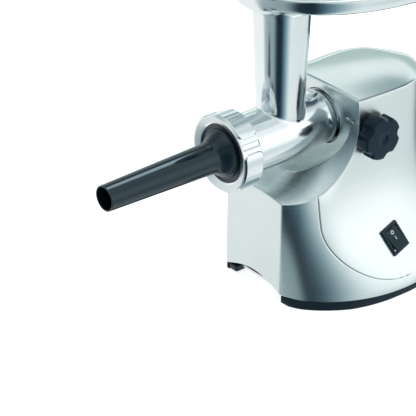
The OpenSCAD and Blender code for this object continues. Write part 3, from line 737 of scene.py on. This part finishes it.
# ------------------------------------------------------------------ filling nozzle
def nozzle_profile():
    f = -139.0
    tip, tr, rr, w = -284.7, 13.8, 17.0, 1.6
    p = [[tr - w, tip + 0.5], [tr - w + 0.4, tip + 0.08], [tr - 0.5, tip], [tr - 0.05, tip + 0.45]]
    for k in range(1, 19):
        t = k / 18
        p.append([tr + (rr - tr) * t, tip + 0.6 + (f - 12.2 - tip - 0.6) * t])
    # the rounded shoulder
    p += [[17.35, f - 11.3], [18.3, f - 9.6], [19.6, f - 7.6], [21.2, f - 5.2], [22.7, f - 2.9], [23.9, f - 0.9], [24.7, f + 0.7], [25.1, f + 1.6]]
    p += [[26.2, f + 2.0], [26.7, f + 2.25], [26.9, f + 2.7], [26.9, f + 3.6], [27.05, f + 4.5], [27.6, f + 4.7], [29.3, f + 4.6], [29.7, f + 4.4], [30.2, f + 4.3]]
    p += [[31.2, f + 4.75], [33.8, f + 5.0], [34.2, f + 5.4], [34.2, f + 10.8], [33.9, f + 11], [28.2, f + 11], [28, f + 10.8], [28, f + 8], [24, f + 5.2], [20.5, f - 0.5], [17.6, f - 6.5], [15.9, f - 11]]
    for k in range(1, 12):
        t = k / 12
        p.append([15.4 + (tr - w - 15.4) * t, f - 12 + (tip + 0.6 - f + 12) * t])
    return p


noz = build(turned(nozzle_profile(), 144), "filling_nozzle", sharp=42)


# ------------------------------------------------------------------ tray
def tray_mesh():
    A, B, YC, N = 112.0, 158.0, 50.0, 220
    t = np.linspace(0, 2 * PI, N, endpoint=False)
    # rays from the chute's axis towards the pan's rim
    dirs = []
    for q in t:
        x, y = A * math.cos(q), YC + B * math.sin(q) - CHY
        dirs.append((x / math.hypot(x, y), y / math.hypot(x, y)))

    def reach(d, u):
        a, b, c = A - d, B - d, CHY - YC
        k2 = (u[0] / a) ** 2 + (u[1] / b) ** 2
        k1 = 2 * u[1] * c / b ** 2
        k0 = (c / b) ** 2 - 1
        return (-k1 + math.sqrt(max(0.0, k1 * k1 - 4 * k2 * k0))) / (2 * k2)

    pan = [(3.0, 340.0), (3.25, 338.6), (3.8, 337.1), (4.9, 335.7), (6.6, 334.5), (9.2, 333.4), (13, 332.3), (18, 331.7), (24, 331.4), (60, 331.4)]
    bowl = [(30.6, 322.0), (33, 322.6), (36, 323.6), (38.6, 324.6), (41, 325.8), (43.1, 327.0), (45, 328.4), (46.9, 329.9), (48.5, 331.6), (49.9, 333.2), (51, 335), (51.8, 337.4), (52, 341)]

    def surface(d, h, r_min, n=26):
        """Rows from the foot of the pan's wall to the hole, following the pan and the bowl at the chute."""
        rows = [[] for _ in range(n + 1)]
        di = [p[0] + d for p in pan]
        for u in dirs:
            ss = [reach(x, u) for x in di][::-1]
            zz = [p[1] + h for p in pan][::-1]
            s0 = reach(3.0 + d, u)
            br_ = [p[0] - d * 0.8 for p in bowl]
            bz_ = [p[1] + h for p in bowl]
            for j in range(n + 1):
                k = j / n
                k = 0.45 * k ** 2.2 + 0.55 * k
                r = s0 + (r_min - s0) * k
                z = float(np.interp(r, ss, zz))
                if r < br_[-1]:
                    z = min(z, float(np.interp(r, br_, bz_)))
                rows[j].append([r * u[0], CHY + r * u[1], z])
        return rows

    def oval(d, z):
        return [[reach(d, u) * u[0], CHY + reach(d, u) * u[1], z] for u in dirs]

    def circle(r, z):
        return [[r * u[0], CHY + r * u[1], z] for u in dirs]

    outer = [oval(1.6, 352.0), oval(0.5, 351.7), oval(0.0, 351.0), oval(0.3, 350.2), oval(1.4, 349.9), oval(2.4, 349.5), oval(2.9, 348.6), oval(3.0, 346), oval(3.0, 343)]
    outer += surface(0.0, 0.0, 30.6)
    boss = [circle(30.2, 322.0), circle(26.4, 322.0), circle(26.0, 321.6), circle(26.0, 304.8), circle(25.6, 304.1), circle(24.9, 304.0), circle(24.4, 304.6), circle(24.4, 320.0)]
    inner = [oval(3.2, 352.0), oval(4.2, 351.6), oval(4.8, 350.6), oval(4.9, 347), oval(5.0, 344)]
    inner += surface(2.0, 2.2, 25.2)
    lip = [circle(24.4, 323.0), circle(24.6, 323.7)]
    return Shape().grid(outer + boss + lip + inner[::-1], wu=True, wv=True)


tray_o = build(tray_mesh(), "feed_tray", sharp=55)


# ------------------------------------------------------------------ lock knob
def knob():
    KX, KY, R, n, r = 83.0, 15.0, 24.0, 5, 9.0
    N = 220
    D = R + r * 0.62
    outl = []
    for k in range(N):
        a = 2 * PI * k / N
        best = R
        for i in range(n):
            c = rad(72 * i + 20)
            d = (a - c + PI) % (2 * PI) - PI
            s = D * math.sin(d)
            if abs(s) < r and abs(d) < 1.2:
                q = D * math.cos(d) - math.sqrt(r * r - s * s)
                best = smin(best, q, 1.6)
        outl.append(best)

    def loop(inset, x, scale=1.0):
        # local x is up and local y is across, as in the part: a turn of 90 degrees about Y
        return [[x, KY + (q * scale - inset) * math.sin(2 * PI * k / N), HZ - (q * scale - inset) * math.cos(2 * PI * k / N)] for k, q in enumerate(outl)]

    def disc(rr, x):
        return [[x, KY + rr * math.sin(2 * PI * k / N), HZ - rr * math.cos(2 * PI * k / N)] for k in range(N)]

    P = [disc(5.0, 65.0), disc(10.6, 65.0), disc(11.0, 65.4), disc(11.0, 67.0), loop(8.0, 67.0, 1.0), loop(3.0, 67.0), loop(1.2, 67.05)]
    for a in np.linspace(20, 90, 5):
        P.append(loop(1.3 * (1 - math.sin(rad(a))), 68.3 - 1.3 * math.cos(rad(a))))
    P += [loop(0, 72), loop(0, 76), loop(0.15, 79.5)]
    for a in np.linspace(0, 80, 7):
        P.append(loop(0.2 + 2.2 * (1 - math.cos(rad(a))), 80.7 + 2.2 * math.sin(rad(a))))
    P += [loop(3.2, 82.93), loop(5.2, 82.98)]
    base = [min(q - 6.2, 99) for q in outl]
    for k in (0.25, 0.5, 0.75):
        P.append([[82.99, KY + ((1 - k) * base[i] + k * 7.0) * math.sin(2 * PI * i / N), HZ - ((1 - k) * base[i] + k * 7.0) * math.cos(2 * PI * i / N)] for i in range(N)])
    P += [disc(6.4, 83.0), disc(5.8, 82.9), disc(5.5, 82.5), disc(5.4, 81.9), disc(5.0, 81.5), disc(3.0, 81.4)]
    S = Shape().grid(P, wv=True)
    S.fan(P[-1], (81.38, KY, HZ))
    Q = [disc(5.0, 65.0), disc(5.0, 68.0)]
    S.grid(Q, wv=True)
    S.fan(Q[-1], (68.0, KY, HZ))
    return S


knob_o = build(knob(), "lock_knob_grip", sharp=45)

# ------------------------------------------------------------------ switch
SWC = np.array([92.3, 28.0, 57.0])
lean, turn = rad(30.3), rad(16.0)


def on_side(p):
    """Switch coordinates (outward, across, up the wall) to millimetres from the front wall."""
    p = np.asarray(p, float)
    x, y, z = p[..., 0], p[..., 1], p[..., 2]
    y2, z2 = y * math.cos(turn) - z * math.sin(turn), y * math.sin(turn) + z * math.cos(turn)
    X = x * math.cos(lean) - z2 * math.sin(lean)
    Z = x * math.sin(lean) + z2 * math.cos(lean)
    return np.stack([X, y2, Z], -1) + SWC


def rrect(hy, hz, r, n=6):
    pts = []
    for cyy, czz, a0 in ((hy - r, hz - r, 0), (-(hy - r), hz - r, 90), (-(hy - r), -(hz - r), 180), (hy - r, -(hz - r), 270)):
        for a in np.linspace(a0, a0 + 90, n):
            pts.append((cyy + r * math.cos(rad(a)), czz + r * math.sin(rad(a))))
    return pts


def rr_loop(x, hy, hz, r):
    return on_side([[x, a, b] for a, b in rrect(hy, hz, r)]).tolist()


bez = [rr_loop(-0.2, 12.7, 15.7, 1.2), rr_loop(1.4, 12.7, 15.7, 1.2), rr_loop(2.3, 12.4, 15.4, 1.2), rr_loop(2.9, 11.8, 14.8, 1.1), rr_loop(3.1, 11.3, 14.3, 1.0), rr_loop(3.1, 10.2, 13.5, 0.9), rr_loop(2.9, 9.7, 13.05, 0.8), rr_loop(2.5, 9.45, 12.85, 0.7), rr_loop(-1.0, 9.4, 12.8, 0.7), rr_loop(-4.6, 9.4, 12.8, 0.7)]
bz = Shape().grid(bez, wv=True)
bezel_o = build(bz, "switch_frame", sharp=40, solid=0.0)
well = Shape().grid([rr_loop(-4.6, 9.4, 12.8, 0.7), rr_loop(-4.6, 5, 7, 0.5)], wv=True).fan(rr_loop(-4.6, 5, 7, 0.5), on_side([-4.6, 0, 0]).tolist())


def rock_top(z):
    """Outward height of the rocker's face, which dips a little in the middle."""
    t = (z + 12) / 24
    a, b = 7.2, 2.4
    return a + (b - a) * t - 1.25 * math.sin(PI * t) ** 1.0 * 1.0 + 0.0


def rocker_mesh():
    S = Shape()
    zs = np.linspace(-12, 12, 25)
    ysl = np.linspace(-9, 9, 13)
    top = [[on_side([rock_top(z), y, z]).tolist() for y in ysl] for z in zs]
    S.grid(top)

    def under(z):
        if z < -7:
            return 4.0 + (1.4 - 4.0) * (z + 12) / 5
        if z < -6:
            return 1.4
        if z <= 6:
            return 5 - math.sqrt(49 - z * z)
        return 1.3

    bot = [[on_side([under(z), y, z]).tolist() for y in ysl] for z in zs]
    S.grid(bot)
    for k in (0, 12):
        S.grid([[top[i][k], (0.5 * (np.array(top[i][k]) + np.array(bot[i][k]))).tolist(), bot[i][k]] for i in range(25)])
    for i in (0, 24):
        S.grid([[top[i][k], (0.5 * (np.array(top[i][k]) + np.array(bot[i][k]))).tolist(), bot[i][k]] for k in range(13)])
    return S


rock = build(rocker_mesh(), "rocker_button", bevel=0.55, seg=3, angle=50, sharp=40)


def mark_ring(zc, r, w):
    S = Shape()
    P = []
    for k in range(40):
        a = 2 * PI * k / 40
        line = []
        for rr, dx in ((r - w, -0.05), (r - w, 0.06), (r, 0.06), (r, -0.05)):
            y, z = rr * math.cos(a), zc + rr * math.sin(a)
            line.append(on_side([rock_top(z) + dx, y, z]).tolist())
        P.append(line)
    return S.grid(P, wu=True, wv=True)


def mark_bar(zc, hy, hz):
    P = []
    for dx, ins in ((-0.05, 0), (0.06, 0)):
        P.append([on_side([rock_top(zc + b) + dx, a, zc + b]).tolist() for a, b in ((-hy, -hz), (hy, -hz), (hy, hz), (-hy, hz))])
    S = Shape().grid(P, wv=True)
    S.fan(P[1], on_side([rock_top(zc) + 0.06, 0, zc]).tolist())
    S.fan(P[0], on_side([rock_top(zc) - 0.05, 0, zc]).tolist())
    return S


mark_o = build(mark_ring(7.2, 2.1, 0.75), "rocker_mark_off")
mark_i = build(mark_bar(0.4, 0.42, 1.9), "rocker_mark_on")


# ------------------------------------------------------------------ materials
class G:
    """A small helper for building node trees."""

    def __init__(self, tree):
        self.t = tree

    def n(self, kind, **kw):
        node = self.t.nodes.new(kind)
        for k, v in kw.items():
            setattr(node, k, v)
        return node

    def link(self, a, b):
        self.t.links.new(a, b)

    def math(self, op, a, b=None, c=None, clamp=False):
        m = self.n("ShaderNodeMath", operation=op, use_clamp=clamp)
        for i, v in enumerate((a, b, c)):
            if v is None:
                continue
            if isinstance(v, (int, float)):
                m.inputs[i].default_value = v
            else:
                self.link(v, m.inputs[i])
        return m.outputs[0]

    def ramp(self, fac, stops, mode="EASE"):
        r = self.n("ShaderNodeValToRGB")
        r.color_ramp.interpolation = mode
        e = r.color_ramp.elements
        while len(e) > 1:
            e.remove(e[-1])
        e[0].position = stops[0][0]
        e[0].color = (*stops[0][1], 1)
        for p, c in stops[1:]:
            q = e.new(p)
            q.color = (*c, 1)
        self.link(fac, r.inputs[0])
        return r.outputs[0]

    def remap(self, v, a, b, c, d):
        m = self.n("ShaderNodeMapRange")
        m.inputs[1].default_value, m.inputs[2].default_value, m.inputs[3].default_value, m.inputs[4].default_value = a, b, c, d
        self.link(v, m.inputs[0])
        return m.outputs[0]

    def noise(self, vec, scale, detail=3, rough=0.55):
        m = self.n("ShaderNodeTexNoise")
        m.inputs["Scale"].default_value = scale
        m.inputs["Detail"].default_value = detail
        m.inputs["Roughness"].default_value = rough
        self.link(vec, m.inputs["Vector"])
        return m.outputs["Fac"]

    def mix(self, fac, a, b):
        m = self.n("ShaderNodeMix", data_type="RGBA")
        for sock, v in ((m.inputs[0], fac), (m.inputs[6], a), (m.inputs[7], b)):
            if isinstance(v, (int, float)):
                sock.default_value = v
            elif isinstance(v, tuple):
                sock.default_value = (*v, 1)
            else:
                self.link(v, sock)
        return m.outputs[2]


def material(name, c1, c2, metallic=1.0, rough=(0.2, 0.3), grain=(30, 30, 2000), grain_bump=0.04, wave=0.0, wave_scale=40, edge_wear_and_highlight=None, coat=0.0, coat_rough=0.1, spec=0.5, mottle=12, speck=0.0, tint=None):
    m = bpy.data.materials.new(name)
    m.use_nodes = True
    g = G(m.node_tree)
    m.node_tree.nodes.clear()
    out = g.n("ShaderNodeOutputMaterial")
    b = g.n("ShaderNodeBsdfPrincipled")
    g.link(b.outputs[0], out.inputs[0])
    tc = g.n("ShaderNodeTexCoord")
    mp = g.n("ShaderNodeMapping")
    mp.inputs["Scale"].default_value = grain
    g.link(tc.outputs["Object"], mp.inputs["Vector"])
    fine = g.noise(mp.outputs[0], 1.0, 4, 0.6)
    big = g.noise(tc.outputs["Object"], mottle, 3, 0.5)
    col = g.mix(g.remap(big, 0.35, 0.65, 0, 1), c1, c2)
    col = g.mix(g.remap(fine, 0.3, 0.7, 0.0, 0.06), col, tuple(0.72 * v for v in c1))
    if speck:
        sp = g.noise(tc.outputs["Object"], 900, 2, 0.5)
        col = g.mix(g.remap(sp, 0.62, 0.7, 0.0, speck), col, tuple(min(1, v * 1.8 + 0.03) for v in c1))
    # convex edges (high Pointiness) are mixed towards a lighter colour: part rubbed edge wear, part painted edge
    # highlight
    if edge_wear_and_highlight:
        geo = g.n("ShaderNodeNewGeometry")
        pt = g.remap(geo.outputs["Pointiness"], 0.53, 0.62, 0.0, 1.0)
        pt = g.math("MULTIPLY", pt, g.remap(big, 0.3, 0.6, 0.45, 1.0), clamp=True)
        col = g.mix(pt, col, edge_wear_and_highlight)
    g.link(col, b.inputs["Base Color"])
    b.inputs["Metallic"].default_value = metallic
    r = g.remap(fine, 0.3, 0.7, rough[0], rough[1])
    r = g.math("ADD", r, g.remap(big, 0.3, 0.7, -0.02, 0.02))
    g.link(r, b.inputs["Roughness"])
    b.inputs["Coat Weight"].default_value = coat
    b.inputs["Coat Roughness"].default_value = coat_rough
    b.inputs["Specular IOR Level"].default_value = spec
    if tint:
        b.inputs["Specular Tint"].default_value = (*tint, 1)
        b.inputs["Coat Tint"].default_value = (*tint, 1)
    bump = g.n("ShaderNodeBump")
    bump.inputs["Strength"].default_value = 1.0
    bump.inputs["Distance"].default_value = grain_bump / 1000
    g.link(fine, bump.inputs["Height"])
    last = bump
    if wave:
        w = g.noise(tc.outputs["Object"], wave_scale, 2, 0.4)
        b2 = g.n("ShaderNodeBump")
        b2.inputs["Strength"].default_value = 1.0
        b2.inputs["Distance"].default_value = wave / 1000
        g.link(w, b2.inputs["Height"])
        g.link(bump.outputs[0], b2.inputs["Normal"])
        last = b2
    g.link(last.outputs[0], b.inputs["Normal"])
    return m


STEEL1, STEEL2 = (0.80, 0.845, 0.84), (0.76, 0.81, 0.81)
M = {}
M["brushed"] = material("brushed_steel", STEEL1, STEEL2, 1.0, (0.28, 0.33), (14, 14, 1500), 0.0009, edge_wear_and_highlight=(0.9, 0.93, 0.93))
M["brushed_front"] = material("brushed_casting", (0.74, 0.80, 0.80), (0.70, 0.765, 0.77), 1.0, (0.27, 0.31), (14, 14, 1400), 0.0006, edge_wear_and_highlight=(0.92, 0.95, 0.95))
M["brushed_deck"] = material("brushed_deck", (0.77, 0.82, 0.81), (0.73, 0.79, 0.785), 1.0, (0.085, 0.12), (16, 1300, 16), 0.0006, edge_wear_and_highlight=(0.9, 0.93, 0.93))
M["polished"] = material("polished_cast_aluminium", (0.86, 0.895, 0.915), (0.82, 0.865, 0.89), 1.0, (0.12, 0.18), (160, 160, 160), 0.004, wave=0.07, wave_scale=24, edge_wear_and_highlight=(0.95, 0.97, 0.98))
M["polished_ring"] = material("polished_ring_nut", (0.87, 0.90, 0.915), (0.83, 0.87, 0.89), 1.0, (0.09, 0.15), (300, 60, 300), 0.005, wave=0.05, wave_scale=30, edge_wear_and_highlight=(0.96, 0.98, 0.98))
M["ring_face"] = material("turned_ring_face", (0.74, 0.78, 0.79), (0.70, 0.745, 0.76), 1.0, (0.28, 0.36), (700, 60, 700), 0.006, edge_wear_and_highlight=(0.9, 0.93, 0.93))
M["tray"] = material("pressed_aluminium", (0.82, 0.86, 0.865), (0.78, 0.825, 0.835), 1.0, (0.13, 0.2), (60, 60, 700), 0.004, wave=0.08, wave_scale=18, edge_wear_and_highlight=(0.92, 0.95, 0.95))
M["nozzle"] = material("gloss_black_plastic", (0.003, 0.006, 0.010), (0.005, 0.008, 0.013), 0.0, (0.06, 0.11), (400, 60, 400), 0.003, wave=0.015, wave_scale=40, spec=0.62, tint=(0.60, 0.86, 1.0), edge_wear_and_highlight=(0.02, 0.024, 0.03))
M["strip"] = material("moulded_black_strip", (0.004, 0.008, 0.014), (0.006, 0.011, 0.018), 0.0, (0.3, 0.42), (500, 500, 500), 0.02, spec=0.3, tint=(0.55, 0.82, 1.0), edge_wear_and_highlight=(0.03, 0.035, 0.045), speck=0.2)
M["knob"] = material("moulded_knob", (0.004, 0.011, 0.022), (0.006, 0.014, 0.027), 0.0, (0.15, 0.22), (700, 700, 700), 0.006, spec=0.24, tint=(0.50, 0.80, 1.0), edge_wear_and_highlight=(0.03, 0.042, 0.06))
M["switch"] = material("switch_plastic", (0.008, 0.016, 0.022), (0.011, 0.020, 0.027), 0.0, (0.22, 0.32), (900, 900, 900), 0.012, spec=0.4, tint=(0.6, 0.86, 1.0), edge_wear_and_highlight=(0.06, 0.08, 0.09))
M["mark"] = material("printed_white_mark", (0.82, 0.86, 0.86), (0.78, 0.82, 0.83), 0.0, (0.4, 0.5), (900, 900, 900), 0.004)
M["steel"] = material("turned_steel", (0.62, 0.64, 0.66), (0.56, 0.58, 0.61), 1.0, (0.2, 0.3), (900, 120, 900), 0.008, edge_wear_and_highlight=(0.8, 0.82, 0.84))
M["alu"] = material("dull_aluminium", (0.60, 0.62, 0.63), (0.55, 0.57, 0.59), 1.0, (0.38, 0.5), (420, 420, 420), 0.03, edge_wear_and_highlight=(0.75, 0.77, 0.78))
M["brass"] = material("sintered_gear_brass", (0.62, 0.45, 0.20), (0.56, 0.40, 0.18), 1.0, (0.3, 0.4), (700, 700, 700), 0.02, edge_wear_and_highlight=(0.8, 0.62, 0.3))
M["white"] = material("white_acetal", (0.80, 0.80, 0.77), (0.76, 0.76, 0.73), 0.0, (0.35, 0.45), (600, 600, 600), 0.01, edge_wear_and_highlight=(0.86, 0.86, 0.84))
M["gearcase"] = material("filled_nylon_case", (0.10, 0.105, 0.11), (0.13, 0.135, 0.14), 0.0, (0.42, 0.55), (500, 500, 500), 0.03, edge_wear_and_highlight=(0.2, 0.2, 0.21), speck=0.15)
M["core"] = material("stacked_core_steel", (0.30, 0.31, 0.33), (0.25, 0.26, 0.28), 1.0, (0.35, 0.5), (60, 2200, 60), 0.05, edge_wear_and_highlight=(0.45, 0.46, 0.48))
M["copper"] = material("wound_copper", (0.72, 0.34, 0.17), (0.62, 0.27, 0.13), 1.0, (0.25, 0.38), (1400, 60, 1400), 0.08, edge_wear_and_highlight=(0.85, 0.5, 0.3))
M["rubber"] = material("soft_rubber", (0.018, 0.018, 0.019), (0.025, 0.025, 0.026), 0.0, (0.7, 0.85), (900, 900, 900), 0.03)
M["board"] = material("circuit_board", (0.02, 0.13, 0.06), (0.015, 0.10, 0.05), 0.0, (0.25, 0.35), (220, 220, 220), 0.01, edge_wear_and_highlight=(0.5, 0.35, 0.12))
M["black"] = material("moulded_black", (0.014, 0.015, 0.017), (0.02, 0.021, 0.023), 0.0, (0.4, 0.52), (600, 600, 600), 0.02, edge_wear_and_highlight=(0.04, 0.04, 0.045), speck=0.2)


def paint(o, m):
    o.data.materials.clear()
    o.data.materials.append(m)


def piece(o, mat, body, slot, *nodes):
    paint(o, M[mat])
    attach(o, body)
    if nodes:
        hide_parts(*nodes)
    return o


piece(casting, "brushed_front", "base", "front_casting", "front_plate", "front_panel_right", "front_panel_left", "front_ledge", "front_wall", "socket_dish", "base_skirt")
piece(shell_r, "brushed", "base", "brushed_steel", "side_shell_right")
piece(shell_l, "brushed", "base", "brushed_steel", "side_shell_left")
piece(deck, "brushed_deck", "base", "brushed_steel", "top_cover")
piece(rear_c, "brushed", "base", "brushed_steel", "rear_cover")
piece(strip_o, "strip", "base", "black_plastic", "base_strip")
piece(foot_l, "strip", "base", "black_plastic")
piece(head, "polished", "head", "cast_aluminium", "grinder_head")
piece(lug, "polished", "head", "cast_aluminium", "head_lug")
piece(ring_o, "polished_ring", "ring", "cast_aluminium", "ring_nut")
ring_o.data.materials.append(M["ring_face"])
for p_ in ring_o.data.polygons:
    c_ = p_.center
    if p_.normal.y < -0.9 and math.hypot(c_.x, c_.z - HZ / 1000) > 0.0331 and c_.y < (-136 + YS) / 1000:
        p_.material_index = 1
piece(noz, "nozzle", "nozzle", "nozzle_black", "nozzle")
piece(tray_o, "tray", "tray", "aluminium_dull", "tray")
piece(knob_o, "knob", "knob", "knob_black", "lock_knob")
piece(bezel_o, "switch", "base", "switch_black", "switch_bezel")
piece(rock, "switch", "switch", "switch_black", "rocker")
piece(mark_o, "mark", "switch", "white_plastic")
piece(mark_i, "mark", "switch", "white_plastic")

SLOT_MAT = {"brushed_steel": "brushed", "front_casting": "brushed_front", "black_plastic": "black", "switch_black": "switch", "knob_black": "knob",
            "nozzle_black": "nozzle", "cast_aluminium": "polished", "steel": "steel", "aluminium_dull": "alu", "gear_brass": "brass",
            "white_plastic": "white", "gearbox_plastic": "gearcase", "core_steel": "core", "copper": "copper", "rubber": "rubber", "board_green": "board"}
node_slot = {}
for n in frame["record"].get("nodes", []):
    if isinstance(n, dict) and n.get("material_slot"):
        node_slot[n.get("name") or n.get("node") or n.get("id")] = n["material_slot"]
for name, o in frame["nodes"].items():
    if o.hide_render:
        continue
    paint(o, M[SLOT_MAT.get(node_slot.get(name), "steel")])
    o.data.shade_smooth()
    o.data.set_sharp_from_angle(angle=rad(30))

# ------------------------------------------------------------------ camera
cam_d = bpy.data.cameras.new("camera")
cam = bpy.data.objects.new("camera", cam_d)
bpy.context.scene.collection.objects.link(cam)
cam_d.sensor_width = 36
cam_d.lens = 36 * 2000 / 416
cr, cu, cb = (0.6309424, 0.7758297, 0.0), (-0.3857361, 0.3136994, 0.8676407), (0.6731414, -0.5474313, 0.4971918)
cam.matrix_world = Matrix(((cr[0], cu[0], cb[0], 1.39103), (cr[1], cu[1], cb[1], -1.28420 + YS / 1000), (cr[2], cu[2], cb[2], 1.14586), (0, 0, 0, 1)))
cam_d.clip_start, cam_d.clip_end = 0.05, 50
bpy.context.scene.camera = cam

# ------------------------------------------------------------------ floor and light
fl = bpy.data.meshes.new("studio_floor")
fl.from_pydata([(-8, -8, 0), (8, -8, 0), (8, 8, 0), (-8, 8, 0)], [], [(0, 1, 2, 3)])
floor = bpy.data.objects.new("studio_floor", fl)
bpy.context.scene.collection.objects.link(floor)
fm = bpy.data.materials.new("studio_floor")
fm.use_nodes = True
g = G(fm.node_tree)
fm.node_tree.nodes.clear()
o_ = g.n("ShaderNodeOutputMaterial")
df = g.n("ShaderNodeBsdfDiffuse")
df.inputs[0].default_value = (0.8, 0.8, 0.8, 1)
em = g.n("ShaderNodeEmission")
em.inputs[0].default_value = (1, 1, 1, 1)
em.inputs[1].default_value = 0.75
ad = g.n("ShaderNodeAddShader")
g.link(df.outputs[0], ad.inputs[0])
g.link(em.outputs[0], ad.inputs[1])
g.link(ad.outputs[0], o_.inputs[0])
floor.data.materials.append(fm)
floor.visible_glossy = False

# The world is a plain studio: pale all round, with dark flags and one large softbox on the right.
world = bpy.data.worlds.new("studio")
bpy.context.scene.world = world
world.use_nodes = True
wt = world.node_tree
wt.nodes.clear()
g = G(wt)
wo = g.n("ShaderNodeOutputWorld")
tc = g.n("ShaderNodeTexCoord")
sp = g.n("ShaderNodeSeparateXYZ")
g.link(tc.outputs["Generated"], sp.inputs[0])
X, Y, Z = sp.outputs
fwd = g.math("ADD", g.math("MULTIPLY", X, 0.7758), g.math("MULTIPLY", Y, -0.6309))
sde = g.math("ADD", g.math("MULTIPLY", X, 0.6309), g.math("MULTIPLY", Y, 0.7758))
az = g.math("ADD", g.math("DIVIDE", g.math("ARCTAN2", sde, fwd), 2 * PI), 0.5)
el = g.math("ADD", g.math("DIVIDE", g.math("ARCSINE", Z), PI), 0.5)


def at(deg):
    return (deg + 180) / 360


W_ = (1.0, 1.02, 1.02)
low = g.ramp(az, [(at(-180), (0.80, 0.86, 0.86)), (at(-150), W_), (at(-84), W_), (at(-72), (0.42, 0.50, 0.52)), (at(-60), (0.34, 0.44, 0.46)), (at(-36), (0.29, 0.39, 0.41)), (at(-27), (0.12, 0.18, 0.20)), (at(-21), (0.014, 0.028, 0.040)), (at(-2), (0.012, 0.024, 0.038)), (at(6), (0.06, 0.12, 0.17)), (at(18), (0.24, 0.37, 0.42)), (at(30), (0.62, 0.75, 0.79)), (at(40), (0.92, 0.98, 0.98)), (at(100), (0.92, 0.98, 0.98)), (at(124), (0.8, 0.86, 0.88)), (at(134), (0.05, 0.08, 0.12)), (at(156), (0.05, 0.08, 0.13)), (at(168), (0.5, 0.56, 0.58)), (at(180), (0.80, 0.86, 0.86))], "LINEAR")
high = g.ramp(az, [(at(-180), (0.62, 0.72, 0.72)), (at(-150), (0.55, 0.68, 0.68)), (at(-120), (0.42, 0.52, 0.52)), (at(-70), (0.60, 0.69, 0.69)), (at(-30), (0.42, 0.51, 0.53)), (at(10), (0.34, 0.44, 0.47)), (at(40), (0.85, 0.91, 0.92)), (at(100), (0.95, 1.0, 1.0)), (at(140), (0.7, 0.78, 0.79)), (at(180), (0.62, 0.72, 0.72))])
e1 = g.remap(el, 0.5 + 2 / 180, 0.5 + 30 / 180, 0, 1)
base = g.mix(e1, low, high)
e2 = g.remap(el, 0.5 + 50 / 180, 0.5 + 72 / 180, 0, 1)
base = g.mix(e2, base, (1.0, 1.03, 1.03))


def up(deg):
    return 0.5 + deg / 180


# what the deck sees behind the machine: bands one above the other
back = g.ramp(el, [(up(-12), (0.62, 0.72, 0.71)), (up(2), (0.66, 0.76, 0.75)), (up(8), (1.3, 1.36, 1.36)), (up(13), (0.62, 0.75, 0.73)), (up(19), (0.52, 0.65, 0.63)), (up(24.6), (0.54, 0.67, 0.65)), (up(26.6), (0.98, 1.06, 1.06)), (up(30.6), (0.96, 1.04, 1.04)), (up(32.0), (0.36, 0.48, 0.50)), (up(37), (0.22, 0.34, 0.37)), (up(60), (0.7, 0.8, 0.8))], "LINEAR")
behind = g.math("ABSOLUTE", g.math("SUBTRACT", az, 0.5))
mb = g.math("MULTIPLY", g.remap(behind, 132 / 360, 146 / 360, 0, 1), g.remap(el, up(-10), up(-2), 0, 1))
base = g.mix(mb, base, back)
# the softbox, seen by the walls where they flare
ma = g.math("MULTIPLY", g.remap(az, at(30), at(48), 0, 1), g.remap(az, at(112), at(128), 1, 0))
side = g.ramp(el, [(up(-60), (0.9, 0.96, 0.96)), (up(-33), (0.90, 0.95, 0.95)), (up(-28), (0.80, 0.87, 0.87)), (up(-23), (0.70, 0.79, 0.79)), (up(-16), (0.76, 0.84, 0.84)), (up(-8), (1.15, 1.2, 1.2)), (up(18), (1.35, 1.4, 1.4)), (up(34), (0.95, 1.0, 1.0)), (up(60), (1.0, 1.03, 1.03))], "LINEAR")
base = g.mix(ma, base, side)
# a strip light high up at the back, which draws the line along the nozzle
mk = g.math("MULTIPLY", g.remap(az, at(130), at(139), 0, 1), g.remap(az, at(166), at(176), 1, 0))
mk = g.math("MULTIPLY", mk, g.math("MULTIPLY", g.remap(el, up(47), up(50), 0, 1), g.remap(el, up(60), up(63), 1, 0)))
base = g.mix(mk, base, (5.2, 5.5, 5.6))
bg1 = g.n("ShaderNodeBackground")
g.link(base, bg1.inputs[0])
bg1.inputs[1].default_value = 1.0
lp = g.n("ShaderNodeLightPath")
bg3 = g.n("ShaderNodeBackground")
bg3.inputs[0].default_value = (1, 1, 1, 1)
mxs = g.n("ShaderNodeMixShader")
g.link(lp.outputs["Is Camera Ray"], mxs.inputs[0])
g.link(bg1.outputs[0], mxs.inputs[1])
g.link(bg3.outputs[0], mxs.inputs[2])
g.link(mxs.outputs[0], wo.inputs[0])

sc = bpy.context.scene
sc.view_settings.view_transform = "Standard"
sc.view_settings.look = "None"
